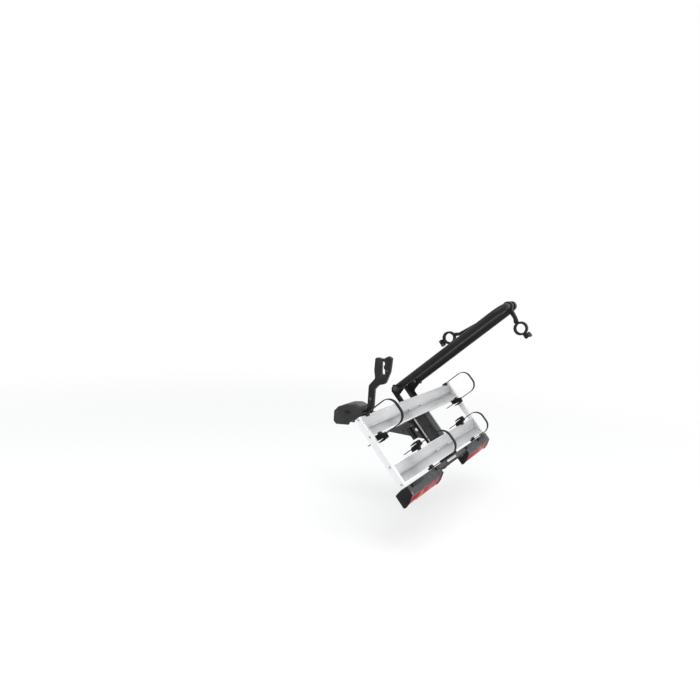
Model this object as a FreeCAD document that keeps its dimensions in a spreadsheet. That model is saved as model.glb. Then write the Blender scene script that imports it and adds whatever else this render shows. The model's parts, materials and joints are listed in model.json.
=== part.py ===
import FreeCAD, Part
import Sketcher
import math
import os
from FreeCAD import Placement, Rotation, Vector

# Tilting bicycle rack for a tow ball, in millimetres.
# The origin is the centre of the ball socket. +X is the vehicle's right, +Y its front, +Z up.
# The rack stands behind the ball, and its platform is tilted down about a hinge along X.
# Platform pieces are drawn about that hinge as if the platform were level, then turned by the tilt.

os.makedirs("parts", exist_ok=True)
doc = FreeCAD.newDocument("BikeRack")

dimensions = {
    # Ball socket and clamp
    "ball_radius": 25,
    "socket_gap": 0.1,
    "jaw_gap": 0.3,
    "entry_lean": 20,
    "socket_half": 38,
    "socket_front": 38,
    "socket_drop": 8,
    "socket_top": 52,
    "socket_back": 145,
    "channel_half": 14.3,
    "channel_front": 12,
    "guide_front": 70,
    "guide_back": 97,
    "jaw_half": 13.7,
    "jaw_pin_back": 46,
    "jaw_pin_up": 42,
    "jaw_pin_radius": 4,
    "jaw_pin_half": 36,
    "jaw_back": 62,
    "rod_radius": 7,
    "rod_tip_radius": 4,
    "rod_tip_length": 6.7,
    # Clamping lever
    "lever_back": 125,
    "lever_up": 24,
    "cam_radius": 18,
    "cam_offset": 5,
    "cam_angle": 30,
    "lever_half": 13,
    "lever_pin_radius": 6,
    "cheek_gap": 1,
    "catch_half": 5,
    "catch_gap": 0.5,
    "catch_pin_radius": 2,
    "lock_radius": 8,
    "lock_back": 134,
    "lock_up": 110,
    "lock_length": 12,
    "lock_stand": 4,
    # Base arm
    "base_half": 50,
    "base_wall": 4,
    "base_top": 25,
    "base_front": 75,
    "base_nose": 17.1,
    "base_knee": 250,
    "knee_drop": 37.5,
    "base_heel": 43,
    "base_side_gap": 0.3,
    "bolt_radius": 5,
    "bolt_head_radius": 8.5,
    "bolt_head": 5,
    # Plastic hood over the socket
    "hood_margin": 10,
    "hood_wall": 3,
    "hood_round": 6,
    "hood_back": 112,
    "hood_peak": 76,
    "hood_peak_back": 57,
    "hood_shoulder": 62,
    "hood_shoulder_back": 98,
    "hood_drop": 44,
    "trim_start": 5,
    "trim_end": 36,
    "trim_sheet": 2,
    "trim_half": 40,
    # Tilt hinge
    "hinge_back": 420,
    "tilt": 48,
    "hinge_bolt_radius": 6,
    "sleeve_radius": 8,
    "ear_sheet": 5,
    "stop_radius": 4,
    "stop_reach": 36,
    "stop_angle": 20,
    "stop_gap": 0.3,
    "run_gap": 0.05,
    # Pan under the trays
    "pan_height": 27,
    "pan_half": 106,
    "pan_sheet": 3,
    "pan_wall_top": 45,
    "notch_half": 48,
    "pan_ear_top": 96,
    # Wheel trays and side rails
    "tray_half": 583,
    "tray_width": 100,
    "tray_height": 24,
    "tray_wall": 2.5,
    "tray_valley": 16,
    "tray_rim": 7.5,
    "groove_half": 4,
    "groove_deep": 3,
    "tray_inner": 100,
    "tray_pitch": 242,
    "rail_width": 20,
    "rail_height": 30,
    "rail_wall": 2.5,
    "rail_overhang": 2,
    "rail_tail": 11,
    "screw_radius": 2.5,
    "screw_head_radius": 4.5,
    "screw_head": 2.5,
    "screw_offset": 44,
    "tray_bolt_side": 80,
    # Light board
    "bar_deep": 22,
    "bar_tall": 20,
    "bar_wall": 2.5,
    "lamp_inner": 200,
    "lamp_tall": 66,
    "lamp_cap": 14,
    "lamp_window": 42,
    "window_long": 120,
    "plate_middle": 54,
    "plate_half": 190,
    "plate_sheet": 4,
    "plate_top": 50,
    "plate_bottom": 56,
    # Foot latch
    "stud_forward": 78,
    "stud_drop": 22,
    "stud_radius": 4,
    "latch_pivot_forward": 46,
    "latch_pivot_up": 12,
    "latch_gap": 2,
    "latch_sheet": 6,
    "latch_release": 16,
    "pedal_inner": 112,
    "pedal_outer": 160,
    # Fold-down hoop
    "hoop_forward": 218,
    "hoop_pivot_up": 78,
    "hoop_leg": 124,
    "hoop_tall": 655,
    "hoop_radius": 17.5,
    "hoop_wall": 2,
    "hoop_bend": 70,
    "hoop_foot": 22,
    "hoop_bolt_radius": 5,
    "knob_radius": 21,
    "knob_width": 24,
    # Frame holders
    "holder_width": 26,
    "collar_width": 30,
    "collar_radius": 23.5,
    "holder_side": 30,
    "holder_short": 118,
    "holder_long": 345,
    "long_turn": 98,
    "holder_drop": 14,
    "claw_inner": 24,
    "claw_outer": 32,
    "claw_pin_radius": 3,
    "stud_width": 6,
    "stud_play": 0.3,
    "clamp_knob_radius": 14,
    # Wheel straps
    "strap_width": 24,
    "strap_thick": 3,
    "strap_bend": 48,
    "strap_outer_near": 280,
    "strap_outer_far": 380,
    "strap_inner_inset": 53,
    "strap_tall_near": 170,
    "strap_tall_far": 126,
    "strap_tall_inner": 150,
    "strap_tail": 49,
    "buckle_reach": 16,
    "buckle_half": 15,
    "foot_reach": 5.5,
    "hook_gap": 0.3,
}


# A size keeps its number and the sheet expression that gives it.
class Size:
    def __init__(self, number, words):
        self.number = number
        self.words = words

    def __add__(self, other):
        return Size(self.number + number_of(other), f"({self.words} + {words_of(other)})")

    def __radd__(self, other):
        return Size(number_of(other) + self.number, f"({words_of(other)} + {self.words})")

    def __sub__(self, other):
        return Size(self.number - number_of(other), f"({self.words} - {words_of(other)})")

    def __rsub__(self, other):
        return Size(number_of(other) - self.number, f"({words_of(other)} - {self.words})")

    def __mul__(self, other):
        return Size(self.number * number_of(other), f"({self.words} * {words_of(other)})")

    def __rmul__(self, other):
        return Size(number_of(other) * self.number, f"({words_of(other)} * {self.words})")

    def __truediv__(self, other):
        return Size(self.number / number_of(other), f"({self.words} / {words_of(other)})")

    def __neg__(self):
        return Size(-self.number, f"(0 - {self.words})")


def number_of(value):
    return value.number if isinstance(value, Size) else value


def words_of(value):
    return value.words if isinstance(value, Size) else f"({float(value)})"


def cosine(angle):
    return Size(math.cos(math.radians(number_of(angle))), f"cos({words_of(angle)} * 1 deg)")


def sine(angle):
    return Size(math.sin(math.radians(number_of(angle))), f"sin({words_of(angle)} * 1 deg)")


# The sheet holds every driving dimension under its own name.
sheet = doc.addObject("Spreadsheet::Sheet", "Sizes")


class Dimensions:
    pass


dim = Dimensions()
for row, (alias, value) in enumerate(dimensions.items(), 1):
    sheet.set(f"A{row}", alias)
    sheet.set(f"B{row}", str(value))
    sheet.setAlias(f"B{row}", alias)
    setattr(dim, alias, Size(value, f"Sizes.{alias}"))
doc.recompute()

exported = []
cuts = []


# Drawing helpers

def origin_part(body, role):
    return [item for item in body.Origin.OriginFeatures if item.Role == role][0]


def new_sketch(body, plane, offset):
    sketch = body.newObject("Sketcher::SketchObject", "Sketch")
    sketch.AttachmentSupport = [(origin_part(body, plane), "")]
    sketch.MapMode = "FlatFace"
    sketch.AttachmentOffset = Placement(Vector(0, 0, number_of(offset)), Rotation())
    sketch.setExpression("AttachmentOffset.Base.z", words_of(offset))
    return sketch


# Each constraint keeps the words of its size, so that the sheet drives the sketch.
def constrain(sketch, rules):
    first = len(sketch.Constraints)
    sketch.addConstraint([rule for rule, size in rules])
    for index, (rule, size) in enumerate(rules, first):
        if isinstance(size, Size):
            sketch.setExpression(f"Constraints[{index}]", size.words)


def place_point(geometry, position, x, y):
    return [
        (Sketcher.Constraint("DistanceX", -1, 1, geometry, position, float(number_of(x))), x),
        (Sketcher.Constraint("DistanceY", -1, 1, geometry, position, float(number_of(y))), y),
    ]


def draw_circle(sketch, x, y, radius):
    centre = Vector(number_of(x), number_of(y), 0)
    circle = sketch.addGeometry(Part.Circle(centre, Vector(0, 0, 1), number_of(radius)), False)
    rules = place_point(circle, 3, x, y)
    rules.append((Sketcher.Constraint("Radius", circle, float(number_of(radius))), radius))
    constrain(sketch, rules)


# An outline is a ring of corners. A corner with a third value is rounded to that radius.
def draw_outline(sketch, corners):
    count = len(corners)
    points = [Vector(number_of(corner[0]), number_of(corner[1]), 0) for corner in corners]
    radii = [number_of(corner[2]) if len(corner) > 2 else 0 for corner in corners]
    arrivals = []
    leavings = []
    for index, point in enumerate(points):
        before = (points[index - 1] - point).normalize()
        after = (points[(index + 1) % count] - point).normalize()
        reach = radii[index] / math.tan(before.getAngle(after) / 2)
        arrivals.append(point + before * reach)
        leavings.append(point + after * reach)
    sides = []
    for index in range(count):
        line = Part.LineSegment(leavings[index], arrivals[(index + 1) % count])
        sides.append(sketch.addGeometry(line, False))
    rules = []
    for index, corner in enumerate(corners):
        side_in = sides[index - 1]
        side_out = sides[index]
        if radii[index] == 0:
            rules.append((Sketcher.Constraint("Coincident", side_in, 2, side_out, 1), None))
            rules.extend(place_point(side_out, 1, corner[0], corner[1]))
            continue
        rules.extend(round_corner(sketch, corner, side_in, side_out, arrivals[index], leavings[index]))
    constrain(sketch, rules)


def round_corner(sketch, corner, side_in, side_out, arrival, leaving):
    point = Vector(number_of(corner[0]), number_of(corner[1]), 0)
    radius = number_of(corner[2])
    middle = ((arrival - point).normalize() + (leaving - point).normalize()).normalize()
    half = (arrival - point).getAngle(leaving - point) / 2
    centre = point + middle * (radius / math.sin(half))
    turns_left = (point - arrival).cross(leaving - point).z > 0
    start = arrival if turns_left else leaving
    end = leaving if turns_left else arrival
    first = math.atan2(start.y - centre.y, start.x - centre.x)
    last = math.atan2(end.y - centre.y, end.x - centre.x)
    circle = Part.Circle(centre, Vector(0, 0, 1), radius)
    arc = sketch.addGeometry(Part.ArcOfCircle(circle, first, last), False)
    mark = sketch.addGeometry(Part.Point(point), True)
    meets_in = 1 if turns_left else 2
    rules = place_point(mark, 1, corner[0], corner[1])
    rules.append((Sketcher.Constraint("PointOnObject", mark, 1, side_in), None))
    rules.append((Sketcher.Constraint("PointOnObject", mark, 1, side_out), None))
    rules.append((Sketcher.Constraint("Tangent", side_in, 2, arc, meets_in), None))
    rules.append((Sketcher.Constraint("Tangent", side_out, 1, arc, 3 - meets_in), None))
    rules.append((Sketcher.Constraint("Radius", arc, float(radius)), corner[2]))
    return rules


# A curved slot follows a circle about the origin from one angle to another.
def draw_curved_slot(sketch, reach, half_width, low_angle, high_angle):
    radius = number_of(reach)
    half = number_of(half_width)
    low = math.radians(number_of(low_angle))
    high = math.radians(number_of(high_angle))
    axis = Vector(0, 0, 1)
    outer = sketch.addGeometry(
        Part.ArcOfCircle(Part.Circle(Vector(), axis, radius + half), low, high), False)
    inner = sketch.addGeometry(
        Part.ArcOfCircle(Part.Circle(Vector(), axis, radius - half), low, high), False)
    top_centre = Vector(radius * math.cos(high), radius * math.sin(high), 0)
    low_centre = Vector(radius * math.cos(low), radius * math.sin(low), 0)
    top = sketch.addGeometry(
        Part.ArcOfCircle(Part.Circle(top_centre, axis, half), high, high + math.pi), False)
    bottom = sketch.addGeometry(
        Part.ArcOfCircle(Part.Circle(low_centre, axis, half), low + math.pi, low + 2 * math.pi), False)
    rules = [
        (Sketcher.Constraint("Coincident", outer, 3, -1, 1), None),
        (Sketcher.Constraint("Coincident", inner, 3, -1, 1), None),
        (Sketcher.Constraint("Radius", outer, radius + half), reach + half_width),
        (Sketcher.Constraint("Radius", inner, radius - half), reach - half_width),
        (Sketcher.Constraint("Tangent", outer, 2, top, 1), None),
        (Sketcher.Constraint("Tangent", top, 2, inner, 2), None),
        (Sketcher.Constraint("Tangent", inner, 1, bottom, 1), None),
        (Sketcher.Constraint("Tangent", bottom, 2, outer, 1), None),
        (Sketcher.Constraint("DistanceY", -1, 1, top, 3, top_centre.y), reach * sine(high_angle)),
        (Sketcher.Constraint("DistanceY", -1, 1, bottom, 3, low_centre.y), reach * sine(low_angle)),
    ]
    constrain(sketch, rules)


# An outline or a circle is told apart by its first item: a circle is ("circle", x, y, radius).
def draw(sketch, shapes):
    for shape in shapes:
        if shape[0] == "circle":
            draw_circle(sketch, *shape[1:])
        elif shape[0] == "curved slot":
            draw_curved_slot(sketch, *shape[1:])
        else:
            draw_outline(sketch, shape)


planes = {"X": "YZ_Plane", "Y": "XZ_Plane", "Z": "XY_Plane"}


# A pad fills the span along its axis. The XZ plane faces -Y, so its offsets change sign.
def pad(body, axis, start, end, shapes):
    offset = -end if axis == "Y" else start
    sketch = new_sketch(body, planes[axis], offset)
    draw(sketch, shapes)
    feature = body.newObject("PartDesign::Pad", "Pad")
    feature.Profile = (sketch, [""])
    feature.setExpression("Length", words_of(end - start))
    body.Tip = feature
    return feature


# A pocket empties the same kind of span, and must take something away.
def pocket(body, axis, start, end, shapes):
    offset = -start if axis == "Y" else end
    sketch = new_sketch(body, planes[axis], offset)
    draw(sketch, shapes)
    base = body.Tip
    feature = body.newObject("PartDesign::Pocket", "Pocket")
    feature.Profile = (sketch, [""])
    feature.setExpression("Length", words_of(end - start))
    body.Tip = feature
    cuts.append((base, feature))
    return feature


def new_body(label):
    body = doc.addObject("PartDesign::Body", label)
    body.Label = label
    return body


# Edges are picked by a test on their two ends and rounded.
def round_edges(body, radius, wanted):
    doc.recompute()
    base = body.Tip
    names = []
    for index, edge in enumerate(base.Shape.Edges, 1):
        ends = [vertex.Point for vertex in edge.Vertexes]
        if len(ends) == 2 and all(wanted(end) for end in ends):
            names.append(f"Edge{index}")
    fillet = body.newObject("PartDesign::Fillet", "Fillet")
    fillet.Base = (base, names)
    fillet.setExpression("Radius", words_of(radius))
    body.Tip = fillet


def box_outline(x_low, y_low, x_high, y_high, radius=None):
    corners = [(x_low, y_low), (x_high, y_low), (x_high, y_high), (x_low, y_high)]
    if radius is None:
        return corners
    return [(x, y, radius) for x, y in corners]


def keep(item):
    exported.append(item)
    return item


def group(label, members):
    together = doc.addObject("Part::Compound", label)
    together.Label = label
    together.Links = members
    return together


# A piece drawn about its own origin is set at a place on the level platform, turned about X,
# and then carried round the tilt hinge.
def on_platform(item, side=0, forward=0, up=0, turn=0):
    y = forward * cosine(dim.tilt) - up * sine(dim.tilt) - dim.hinge_back
    z = forward * sine(dim.tilt) + up * cosine(dim.tilt)
    angle = dim.tilt + turn
    turned = Rotation(Vector(1, 0, 0), number_of(angle))
    item.Placement = Placement(Vector(number_of(side), number_of(y), number_of(z)), turned)
    item.setExpression("Placement.Base.x", words_of(side))
    item.setExpression("Placement.Base.y", words_of(y))
    item.setExpression("Placement.Base.z", words_of(z))
    item.setExpression("Placement.Rotation.Angle", words_of(angle))
    return keep(item)


# Levels and places that several pieces share
tray_floor = dim.pan_height + dim.pan_sheet
tray_top = tray_floor + dim.tray_height
tray_outer = dim.tray_inner - dim.tray_pitch
rail_front = dim.tray_inner + dim.tray_width / 2 + dim.rail_overhang
rail_back = tray_outer - dim.tray_width / 2 - dim.rail_tail
rail_outside = dim.tray_half + dim.rail_width
base_inside = dim.base_half - dim.base_wall
between_cheeks = base_inside - dim.cheek_gap
latch_side = dim.base_half + dim.latch_gap
inner_strap_side = dim.tray_half - dim.strap_inner_inset
socket_side = base_inside - dim.base_side_gap
socket_radius = dim.ball_radius + dim.socket_gap
cam_y = dim.cam_offset * cosine(dim.cam_angle) - dim.lever_back
cam_z = dim.cam_offset * sine(dim.cam_angle) + dim.lever_up
rod_front = -(dim.jaw_back + dim.jaw_gap)
rod_back = cam_y + dim.cam_radius + dim.jaw_gap


# Fixed arm: a channel open on top, deeper towards its heel. Its rear top is round about the hinge
# and then slopes down along the tilted pan.
def make_base_arm():
    body = new_body("base_arm")
    front = -dim.base_front
    knee = -dim.base_knee
    top = dim.base_top
    crest = -dim.hinge_back - top * (1 - cosine(dim.tilt)) / sine(dim.tilt)
    heel = -dim.hinge_back - (top + dim.base_heel * cosine(dim.tilt)) / sine(dim.tilt)
    side = [
        (front, top),
        (crest, top, top),
        (heel, -dim.base_heel, 6),
        (knee, -dim.knee_drop),
        (front, -dim.base_nose),
    ]
    pad(body, "X", -dim.base_half, dim.base_half, [side])
    inside = [
        (front + 1, top + 1),
        (heel, top + 1),
        (heel, dim.base_wall - dim.base_heel),
        (knee, dim.base_wall - dim.knee_drop),
        (front + 1, dim.base_wall - dim.base_nose),
    ]
    pocket(body, "X", -base_inside, base_inside, [inside])
    stop_y = dim.stop_reach * cosine(dim.stop_angle) - dim.hinge_back
    stop_z = dim.stop_reach * sine(dim.stop_angle)
    holes = [
        ("circle", -dim.hinge_back, 0, dim.hinge_bolt_radius + dim.run_gap),
        ("circle", stop_y, stop_z, dim.stop_radius),
    ]
    for y, z in coupling_bolt_places():
        holes.append(("circle", y, z, dim.bolt_radius + dim.run_gap))
    pocket(body, "X", -dim.base_half - 1, dim.base_half + 1, holes)
    keep(body)


def coupling_bolt_places():
    front = -(dim.base_front + 13)
    rear = -(dim.socket_back - 8)
    return [(front, 6), (rear, 3)]


# Cast socket: a round-fronted block with the ball's cavity, a slot for the clamp and a rod guide.
def make_ball_socket():
    body = new_body("ball_socket")
    half = dim.socket_half
    wide = socket_side
    plan = [
        (-wide, -dim.socket_back),
        (wide, -dim.socket_back),
        (wide, -50, 8),
        (half, -36, 8),
        (half, dim.socket_front, 30),
        (-half, dim.socket_front, 30),
        (-half, -36, 8),
        (-wide, -50, 8),
    ]
    pad(body, "Z", -dim.socket_drop, dim.socket_top, [plan])
    top = dim.socket_top
    high = [
        (dim.socket_front + 2, 20),
        (dim.socket_front + 2, top + 2),
        (-dim.socket_back - 2, top + 2),
        (-dim.socket_back - 2, 34),
        (-95, 38, 10),
        (-72, top, 10),
        (-34, top, 10),
        (18, 42, 14),
    ]
    pocket(body, "X", -wide - 1, wide + 1, [high])
    slot = box_outline(-dim.channel_half, -dim.guide_front, dim.channel_half, -dim.channel_front)
    tail = box_outline(-dim.channel_half, -dim.socket_back - 1, dim.channel_half, -dim.guide_back)
    pocket(body, "Z", -dim.socket_drop - 1, top + 1, [slot, tail])
    pocket(body, "Y", -dim.guide_back - 1, -dim.guide_front + 1,
           [("circle", 0, dim.lever_up, dim.rod_radius + dim.run_gap)])
    base = body.Tip
    cavity = body.newObject("PartDesign::SubtractiveSphere", "Cavity")
    cavity.setExpression("Radius", words_of(socket_radius))
    body.Tip = cavity
    cuts.append((base, cavity))
    entry = body.newObject("PartDesign::SubtractiveCylinder", "Entry")
    entry.setExpression("Radius", words_of(socket_radius))
    entry.setExpression("Height", words_of(dim.ball_radius * 2))
    lean = 180 - dim.entry_lean
    entry.Placement = Placement(Vector(), Rotation(Vector(1, 0, 0), number_of(lean)))
    body.Tip = entry
    cuts.append((cavity, entry))
    bores = [
        ("circle", -dim.jaw_pin_back, dim.jaw_pin_up, dim.jaw_pin_radius),
        ("circle", -dim.lever_back, dim.lever_up, dim.lever_pin_radius),
    ]
    pocket(body, "X", -wide - 1, wide + 1, bores)
    threads = [("circle", y, z, dim.bolt_radius) for y, z in coupling_bolt_places()]
    pocket(body, "X", wide - 20, wide + 1, threads)
    pocket(body, "X", -wide - 1, 20 - wide, threads)
    keep(body)


def make_coupling_bolts():
    members = []
    for side in (-1, 1):
        for y, z in coupling_bolt_places():
            body = new_body("coupling_bolt")
            shank = [dim.base_half * side, (dim.base_half - 22) * side]
            head = [dim.base_half * side, (dim.base_half + dim.bolt_head) * side]
            span = sorted(shank, key=number_of)
            pad(body, "X", span[0], span[1], [("circle", y, z, dim.bolt_radius)])
            span = sorted(head, key=number_of)
            pad(body, "X", span[0], span[1], [hexagon(y, z, dim.bolt_head_radius)])
            members.append(body)
    keep(group("coupling_bolts", members))


def hexagon(x, y, radius):
    return [(x + radius * cosine(60 * k), y + radius * sine(60 * k)) for k in range(6)]


def make_pins():
    jaw_pin = new_body("jaw_pin")
    pad(jaw_pin, "X", -dim.jaw_pin_half, dim.jaw_pin_half,
        [("circle", -dim.jaw_pin_back, dim.jaw_pin_up, dim.jaw_pin_radius)])
    keep(jaw_pin)
    lever_pin = new_body("lever_pin")
    pad(lever_pin, "X", -between_cheeks, between_cheeks,
        [("circle", -dim.lever_back, dim.lever_up, dim.lever_pin_radius)])
    keep(lever_pin)


# Clamp jaw: hangs from its pin, with a lip that reaches under the ball.
def make_clamp_jaw():
    body = new_body("clamp_jaw")
    side = [
        (-dim.jaw_back, dim.jaw_pin_up + 8, 8),
        (-dim.jaw_pin_back + 9, dim.jaw_pin_up + 8, 8),
        (-20, 20, 6),
        (-10, -12),
        (-10, -32, 3),
        (-46, -32, 10),
        (-dim.jaw_back, -16, 8),
    ]
    pad(body, "X", -dim.jaw_half, dim.jaw_half, [side])
    base = body.Tip
    ball = body.newObject("PartDesign::SubtractiveSphere", "Ball")
    ball.setExpression("Radius", words_of(dim.ball_radius + dim.jaw_gap))
    body.Tip = ball
    cuts.append((base, ball))
    pocket(body, "X", -dim.jaw_half - 1, dim.jaw_half + 1,
           [("circle", -dim.jaw_pin_back, dim.jaw_pin_up, dim.jaw_pin_radius + dim.run_gap)])
    keep(body)


def make_thrust_rod():
    body = new_body("thrust_rod")
    step = rod_front - dim.rod_tip_length
    pad(body, "Y", rod_back, step, [("circle", 0, dim.lever_up, dim.rod_radius)])
    pad(body, "Y", step, rod_front, [("circle", 0, dim.lever_up, dim.rod_tip_radius)])
    keep(body)


# Clamping lever: an eccentric cam, a stem and a looped grip that leans back over the platform.
def make_coupling_lever():
    body = new_body("coupling_lever")
    half = dim.lever_half
    pad(body, "X", -half, half, [("circle", cam_y, cam_z, dim.cam_radius)])
    grip = [
        (-109, 34, 6),
        (-118, 60, 14),
        (-118, 180, 26),
        (-152, 222, 14),
        (-144, 262, 30),
        (-146, 334, 12),
        (-190, 328, 22),
        (-219, 346, 8),
        (-238, 336, 8),
        (-232, 262, 40),
        (-210, 198, 20),
        (-174, 188, 14),
        (-150, 160, 20),
        (-150, 60, 14),
        (-136, 30, 6),
    ]
    pad(body, "X", -half, half, [grip])
    slot = [(-181, 315, 7), (-201, 315, 7), (-207, 250, 8), (-184, 244, 8)]
    pocket(body, "X", -half - 1, half + 1, [slot])
    window = dim.catch_half + dim.catch_gap
    pocket(body, "Y", -226, -198, [box_outline(-window, 262, window, 306)])
    pocket(body, "X", -half - 1, half + 1, [
        ("circle", -dim.lever_back, dim.lever_up, dim.lever_pin_radius + dim.run_gap),
        ("circle", -217, 270, dim.catch_pin_radius),
    ])
    pocket(body, "X", -half - 1, dim.lock_length - half - dim.lock_stand + dim.catch_gap,
           [("circle", -dim.lock_back, dim.lock_up, dim.lock_radius + dim.run_gap)])
    keep(body)


# Finger catch inside the grip's slot, on a cross pin
def make_safety_catch():
    body = new_body("safety_catch")
    side = [
        (-212, 265, 2), (-221.5, 265, 3), (-222, 280, 6), (-219, 302, 3), (-208, 302, 3),
        (-192, 292, 4), (-196, 276, 4),
    ]
    pad(body, "X", -dim.catch_half, dim.catch_half, [side])
    pocket(body, "X", -dim.catch_half - 1, dim.catch_half + 1,
           [("circle", -217, 270, dim.catch_pin_radius + dim.run_gap)])
    keep(body)
    pin = new_body("catch_pin")
    pad(pin, "X", -dim.lever_half, dim.lever_half, [("circle", -217, 270, dim.catch_pin_radius)])
    keep(pin)


def make_lever_lock():
    body = new_body("lever_lock")
    outer = -(dim.lever_half + dim.lock_stand)
    pad(body, "X", outer, outer + dim.lock_length,
        [("circle", -dim.lock_back, dim.lock_up, dim.lock_radius)])
    slit = box_outline(-dim.lock_back - 1, dim.lock_up - 5, -dim.lock_back + 1, dim.lock_up + 5)
    pocket(body, "X", outer - 1, outer + 3, [slit])
    keep(body)


# Hood: a thin moulded shell over the socket, open below and behind.
def hood_side(inset):
    back = -dim.hood_back - (1 if inset else 0)
    wall = dim.hood_wall if inset else 0
    low = 2 if inset else 0
    return [
        (56 - wall, -28 - low),
        (56 - wall, 26, 8),
        (32, 52 - wall, 14),
        (-10, 70 - wall, 30),
        (-dim.hood_peak_back, dim.hood_peak - wall, 20),
        (-dim.hood_shoulder_back, dim.hood_shoulder - wall, 16),
        (back, 45 - wall),
        (back, -8 - low),
        (-62, -6 - low, 8),
        (-47, -14 - low, 10),
        (-40, 7 - dim.hood_drop - low, 8),
        (36, -dim.hood_drop - low, 14),
    ]


def make_coupling_hood():
    body = new_body("coupling_hood")
    half = dim.base_half + dim.hood_margin
    pad(body, "X", -half, half, [hood_side(False)])
    edge = number_of(half) - 0.01
    round_edges(body, dim.hood_round,
                lambda end: abs(end.x) > edge and end.z > 20 and end.y > -number_of(dim.hood_back) - 1)
    pocket(body, "X", dim.hood_wall - half, half - dim.hood_wall, [hood_side(True)])
    keep(body)
    # The trim lies on the slope behind the hood's peak.
    trim = new_body("hood_trim")
    fall = (dim.hood_peak - dim.hood_shoulder) / (dim.hood_shoulder_back - dim.hood_peak_back)
    near = -(dim.hood_peak_back + dim.trim_start)
    far = -(dim.hood_peak_back + dim.trim_end)
    near_up = dim.hood_peak - dim.trim_start * fall
    far_up = dim.hood_peak - dim.trim_end * fall
    strip = [(near, near_up), (near - 0.7, near_up + dim.trim_sheet),
             (far - 0.7, far_up + dim.trim_sheet), (far, far_up)]
    pad(trim, "X", -dim.trim_half, dim.trim_half, [strip])
    keep(trim)


# Tilt hinge: a bolt through the arm's cheeks, with a sleeve that the platform's ears turn on.
def make_tilt_hinge():
    sleeve = new_body("hinge_sleeve")
    half = base_inside - dim.run_gap
    pad(sleeve, "X", -half, half, [
        ("circle", -dim.hinge_back, 0, dim.sleeve_radius),
        ("circle", -dim.hinge_back, 0, dim.hinge_bolt_radius + dim.run_gap),
    ])
    keep(sleeve)
    bolt = new_body("hinge_bolt")
    end = dim.base_half
    pad(bolt, "X", -end, end, [("circle", -dim.hinge_back, 0, dim.hinge_bolt_radius)])
    pad(bolt, "X", end, end + 8, [hexagon(-dim.hinge_back, 0, 10)])
    pad(bolt, "X", -end - 2, -end, [("circle", -dim.hinge_back, 0, 9.5)])
    pad(bolt, "X", -end - 7, -end - 2, [("circle", -dim.hinge_back, 0, 8)])
    keep(bolt)
    stop = new_body("stop_pin")
    stop_y = dim.stop_reach * cosine(dim.stop_angle) - dim.hinge_back
    stop_z = dim.stop_reach * sine(dim.stop_angle)
    pad(stop, "X", -end, end, [("circle", stop_y, stop_z, dim.stop_radius)])
    keep(stop)
    stud = new_body("latch_stud")
    stud_y = dim.stud_forward - dim.hinge_back
    pad(stud, "X", -end - 11, -end, [("circle", stud_y, -dim.stud_drop, dim.stud_radius)])
    keep(stud)


# Ears under the pan, each with a curved slot over the stop pin
def make_hinge_ears():
    members = []
    for side in (-1, 1):
        body = new_body("hinge_ear")
        span = sorted([side * between_cheeks, side * (between_cheeks - dim.ear_sheet)], key=number_of)
        top = dim.pan_height
        outline = [(-38, top), (-26, 0, 12), (-16, -25, 14), (42, -34, 20), (54, 2, 20), (52, top)]
        pad(body, "X", span[0], span[1], [outline])
        slot = ("curved slot", dim.stop_reach, dim.stop_radius + dim.stop_gap,
                dim.stop_angle - dim.tilt, dim.stop_angle)
        pocket(body, "X", span[0] - 1, span[1] + 1,
               [("circle", 0, 0, dim.sleeve_radius + dim.run_gap), slot])
        members.append(body)
    on_platform(group("hinge_ears", members))


# Shallow pan of folded sheet that carries the trays, with tall front ears for the hoop
def make_chassis_pan():
    body = new_body("chassis_pan")
    bottom = dim.pan_height
    top = dim.pan_wall_top
    front = dim.hoop_forward
    side = [
        (rail_back, bottom),
        (rail_back, top, 3),
        (front - 34, top, 14),
        (front - 20, dim.pan_ear_top, 14),
        (front + 20, dim.pan_ear_top, 14),
        (front + 20, bottom + 14, 10),
        (front + 8, bottom, 4),
    ]
    pad(body, "X", -dim.pan_half, dim.pan_half, [side])
    inner = dim.pan_half - dim.pan_sheet
    hollow = box_outline(rail_back + dim.pan_sheet, tray_floor, front + 21, dim.pan_ear_top + 1)
    pocket(body, "X", -inner, inner, [hollow])
    gap = dim.hook_gap
    beds = []
    for centre in (dim.tray_inner, tray_outer):
        reach = dim.tray_width / 2 + gap
        beds.append(box_outline(centre - reach, tray_floor, centre + reach, top + 1))
    pocket(body, "X", -dim.pan_half - 1, dim.pan_half + 1, beds)
    notch = box_outline(-dim.notch_half, rail_front, dim.notch_half, front + 60, 10)
    holes = [notch]
    for centre in (dim.tray_inner, tray_outer):
        for bolt_side in (-1, 1):
            holes.append(("circle", dim.tray_bolt_side * bolt_side, centre, dim.screw_radius + 0.2))
    pocket(body, "Z", bottom - 1, tray_floor + 1, holes)
    pocket(body, "X", -dim.pan_half - 1, dim.pan_half + 1,
           [("circle", front, dim.hoop_pivot_up, dim.hoop_bolt_radius)])
    on_platform(body)


# Tray section: flat rims, sloping sides and a grooved valley on a solid keel
def tray_section():
    half = dim.tray_width / 2
    wall = dim.tray_wall
    top = dim.tray_height
    rim = half - dim.tray_rim
    valley = top - dim.tray_valley
    right = [
        (half, top),
        (half, 0),
        (half - 8, 0),
        (half - 8, wall),
        (half - wall, wall),
        (half - wall, top - wall),
        (rim + wall, top - wall),
        (rim, top - 3 - wall),
        (dim.groove_half + wall, valley - wall),
        (dim.groove_half + wall, 0),
    ]
    surface = [
        (dim.groove_half, valley - dim.groove_deep),
        (dim.groove_half, valley),
        (rim - 1, top - 3),
        (rim, top),
    ]
    left = [(-y, z) for y, z in reversed(right)]
    return surface + right + left + [(-y, z) for y, z in reversed(surface)]


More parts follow.
